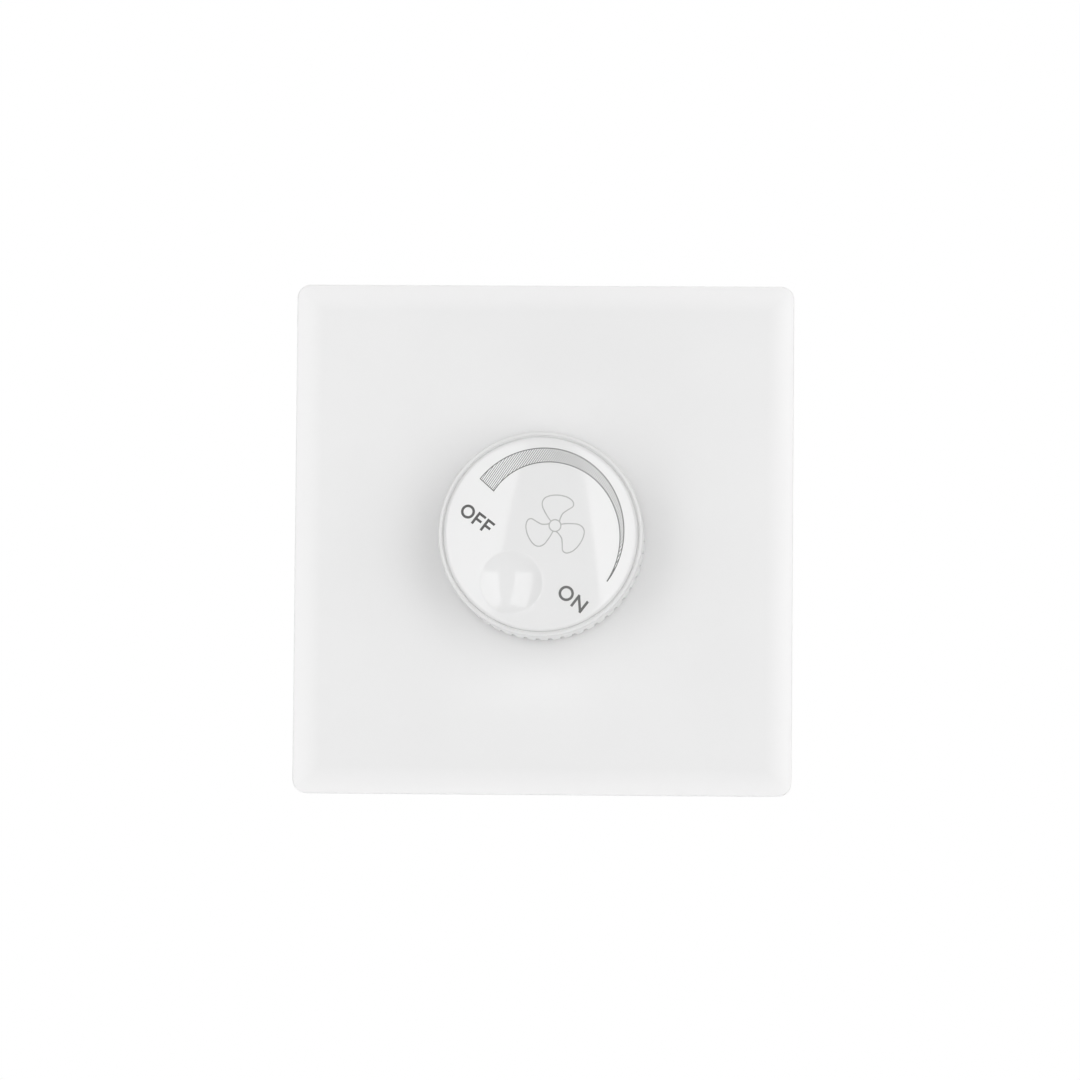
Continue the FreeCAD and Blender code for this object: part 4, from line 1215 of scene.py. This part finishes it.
def add_word(bm, letters, middle, letter_gap):
    """Letters in a row, centred at a place of the print."""
    total = sum(width for width, _ in letters) + letter_gap * (len(letters) - 1)
    x = -total / 2
    low = -letter_height / 2
    for width, strokes in letters:
        for outline, closed in strokes:
            path = [turned_about(middle, x + u, low + v) for u, v in outline]
            add_strip(bm, path, letter_stroke, closed)
        x += width + letter_gap


first_stem = ((stem, 0.0), (stem, letter_height))
second_stem = ((n_stem, 0.0), (n_stem, letter_height))
f_top = ((stem, top_line), (f_width, top_line))
f_middle = ((stem, f_arm_line), (f_arm, f_arm_line))
letter_f = straight_letter(f_width, first_stem, f_top, f_middle)
letter_n = straight_letter(n_width, first_stem, second_stem, ((stem, top_line), (n_stem, stem)))
dark_ink = ink("ink_dark", (0.075, 0.075, 0.073))
grey_ink = ink("ink_grey", (0.13, 0.13, 0.128))
bm = bmesh.new()
add_word(bm, [round_letter(off_round), letter_f, letter_f], off_middle, off_gap)
word_off = printed("word_off", bm, dark_ink)
bm = bmesh.new()
add_word(bm, [round_letter(on_round), letter_n], on_middle, on_gap)
word_on = printed("word_on", bm, grey_ink)
print("words:", len(word_off.data.polygons), "and", len(word_on.data.polygons), "faces")

# %% [markdown]
# The speed band starts wide beside OFF and runs over the top to a point beside ON. Its two edges are
# smooth curves through a few stations, each a clock angle with an inner and an outer radius. Its outline
# is a thin strip of ink.

# %% Speed band outline
band_stations = [
    (-82.0, 10.75, 13.90),
    (-54.0, 11.60, 14.32),
    (-20.0, 12.48, 14.72),
    (10.0, 13.05, 14.64),
    (40.0, 13.36, 14.33),
    (66.0, 13.62, 14.10),
    (91.0, 13.90, 13.96),
]
band_steps = 14
band_line = 0.16


def between(before, here, there, after, share):
    """A smooth value between two stations of four."""
    slope_here = (there - before) / 2
    slope_there = (after - here) / 2
    step = there - here
    return (
        here
        + share * slope_here
        + share**2 * (3 * step - 2 * slope_here - slope_there)
        + share**3 * (slope_here + slope_there - 2 * step)
    )


def smooth_line(stations, steps):
    """Points of a smooth curve through stations with any number of values each."""
    line = []
    last = len(stations) - 1
    for index in range(last):
        quad = [stations[max(min(index + shift, last), 0)] for shift in (-1, 0, 1, 2)]
        for step in range(steps):
            line.append(tuple(between(*values, step / steps) for values in zip(*quad)))
    line.append(tuple(stations[-1]))
    return line


def by_clock(clock, radius):
    """A flat print point from a clock angle in degrees."""
    return (radius * math.sin(math.radians(clock)), radius * math.cos(math.radians(clock)))


band_curve = smooth_line(band_stations, band_steps)
band_outer = [by_clock(clock, outer) for clock, _, outer in band_curve]
band_inner = [by_clock(clock, inner) for clock, inner, _ in band_curve]
band_start = stepped(band_inner[0], band_outer[0])[1:-1]
band_outline = band_outer + band_inner[::-1] + band_start
band_ink = ink("ink_band", (0.16, 0.16, 0.158))
bm = bmesh.new()
add_strip(bm, band_outline, band_line, True)
band_edge = printed("speed_band_outline", bm, band_ink)
print("band outline:", len(band_outline), "points,", len(band_edge.data.polygons), "faces")

# %% [markdown]
# The band is filled with fine upright lines. Geometry Nodes draw them: a row of thin bars stands on a
# line of points, the bars are cut to the band's outline by a Boolean node, and Set Position turns and
# lays them on the dome. The band itself comes in as a flat prism, so the tree works for any outline.

# %% Speed band lines
hatch_pitch = 0.32
hatch_width = 0.105
hatch_reach = 32.0
bar_points = 28
prism_height = 1.0


def hatch_tree():
    """Cuts a row of thin bars to a flat prism, turns them and lays them on the dome."""
    names = ["Pitch", "Bar Width", "Reach", "Ink Height", "Turn", "Dome Radius", "Crown"]
    tree, prism, material, sizes = geometry_tree("band_lines", names)
    pitch, bar_width, reach, thickness, turn, dome, crown = sizes
    add, subtract, multiply, divide = operations(tree, "ADD", "SUBTRACT", "MULTIPLY", "DIVIDE")
    cube = {"Size": vector_of(tree, bar_width, thickness, reach), "Vertices Z": bar_points}
    bar = add_node(tree, "GeometryNodeMeshCube", cube)
    line = {
        "Count": divide(reach, pitch),
        "Start Location": vector_of(tree, multiply(reach, -0.5), 0.0, 0.0),
        "Offset": vector_of(tree, pitch, 0.0, 0.0),
    }
    row = add_node(tree, "GeometryNodeMeshLine", line)
    copies = {"Points": row.outputs["Mesh"], "Instance": bar.outputs["Mesh"]}
    bars = add_node(tree, "GeometryNodeInstanceOnPoints", copies)
    loose = add_node(tree, "GeometryNodeRealizeInstances", {"Geometry": bars.outputs["Instances"]})
    trim = add_node(tree, "GeometryNodeMeshBoolean", operation="INTERSECT", solver="EXACT")
    for shape in (loose.outputs["Geometry"], prism):
        tree.links.new(shape, trim.inputs["Mesh 2"])
    x, y, z = point_places(tree)
    cosine = calculate(tree, "COSINE", turn)
    sine = calculate(tree, "SINE", turn)
    turned_x = calculate(tree, "MULTIPLY_ADD", x, cosine, multiply(z, sine))
    turned_z = subtract(multiply(z, cosine), multiply(x, sine))
    from_axis = calculate(tree, "MULTIPLY_ADD", x, x, multiply(z, z))
    squared = subtract(calculate(tree, "POWER", dome, 2.0), from_axis)
    fall = subtract(dome, calculate(tree, "SQRT", squared))
    place = vector_of(tree, turned_x, add(add(crown, fall), y), turned_z)
    moved = {"Geometry": trim.outputs["Mesh"], "Position": place}
    lay = add_node(tree, "GeometryNodeSetPosition", moved)
    end_tree(tree, lay.outputs["Geometry"], material)
    return tree


hatch_values = {
    "Pitch": hatch_pitch * MM,
    "Bar Width": hatch_width * MM,
    "Reach": hatch_reach * MM,
    "Ink Height": 2 * ink_height * MM,
    "Turn": print_turn,
    "Dome Radius": dome_radius * MM,
    "Crown": crown_y * MM,
    "Material": band_ink,
}
bm = bmesh.new()
add_prism(bm, [(x, -prism_height / 2, z) for x, z in band_outline], (0, prism_height, 0))
band_lines = object_from("speed_band_lines", bm, band_ink)
use_tree(band_lines, hatch_tree(), hatch_values)
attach(band_lines, "knob")
print("band lines:", len(band_lines.data.polygons), "faces")

# %% [markdown]
# The fan is drawn in a thin pale line: a small ring for the hub and three blades. One blade is a smooth
# curve through a few (clock, radius) stations. The other two are the same curve, turned by about a third
# of a circle, and the last one is a little smaller.

# %% Fan outline
fan_middle = (1.33, 2.50)
fan_hub = 1.0
fan_line = 0.2
fan_turn = -33.0
hub_step = 9
blade_steps = 6
blade_places = ((0.0, 1.0), (120.0, 1.0), (243.5, 0.94))
blade_stations = [
    (-44.0, 1.10),
    (-38.0, 2.85),
    (-35.0, 3.80),
    (-29.5, 4.55),
    (-22.0, 5.00),
    (-12.5, 5.15),
    (0.0, 5.20),
    (15.0, 5.25),
    (26.0, 5.25),
    (36.0, 5.05),
    (41.0, 4.60),
    (41.0, 4.10),
    (36.0, 3.15),
    (31.0, 2.30),
    (36.0, 1.40),
    (46.0, 1.10),
]


def fan_point(clock, radius):
    """A point of the fan, given from its middle."""
    x, z = by_clock(clock + fan_turn, radius)
    return (fan_middle[0] + x, fan_middle[1] + z)


pale_ink = ink("ink_pale", (0.5, 0.5, 0.495))
bm = bmesh.new()
add_strip(bm, [fan_point(clock, fan_hub) for clock in range(0, 360, hub_step)], fan_line, True)
for turn, size in blade_places:
    turned = [(clock + turn, radius * size) for clock, radius in blade_stations]
    add_strip(bm, [fan_point(*point) for point in smooth_line(turned, blade_steps)], fan_line)
fan_mark = printed("fan_outline", bm, pale_ink)
print("fan outline:", len(fan_mark.data.polygons), "faces")
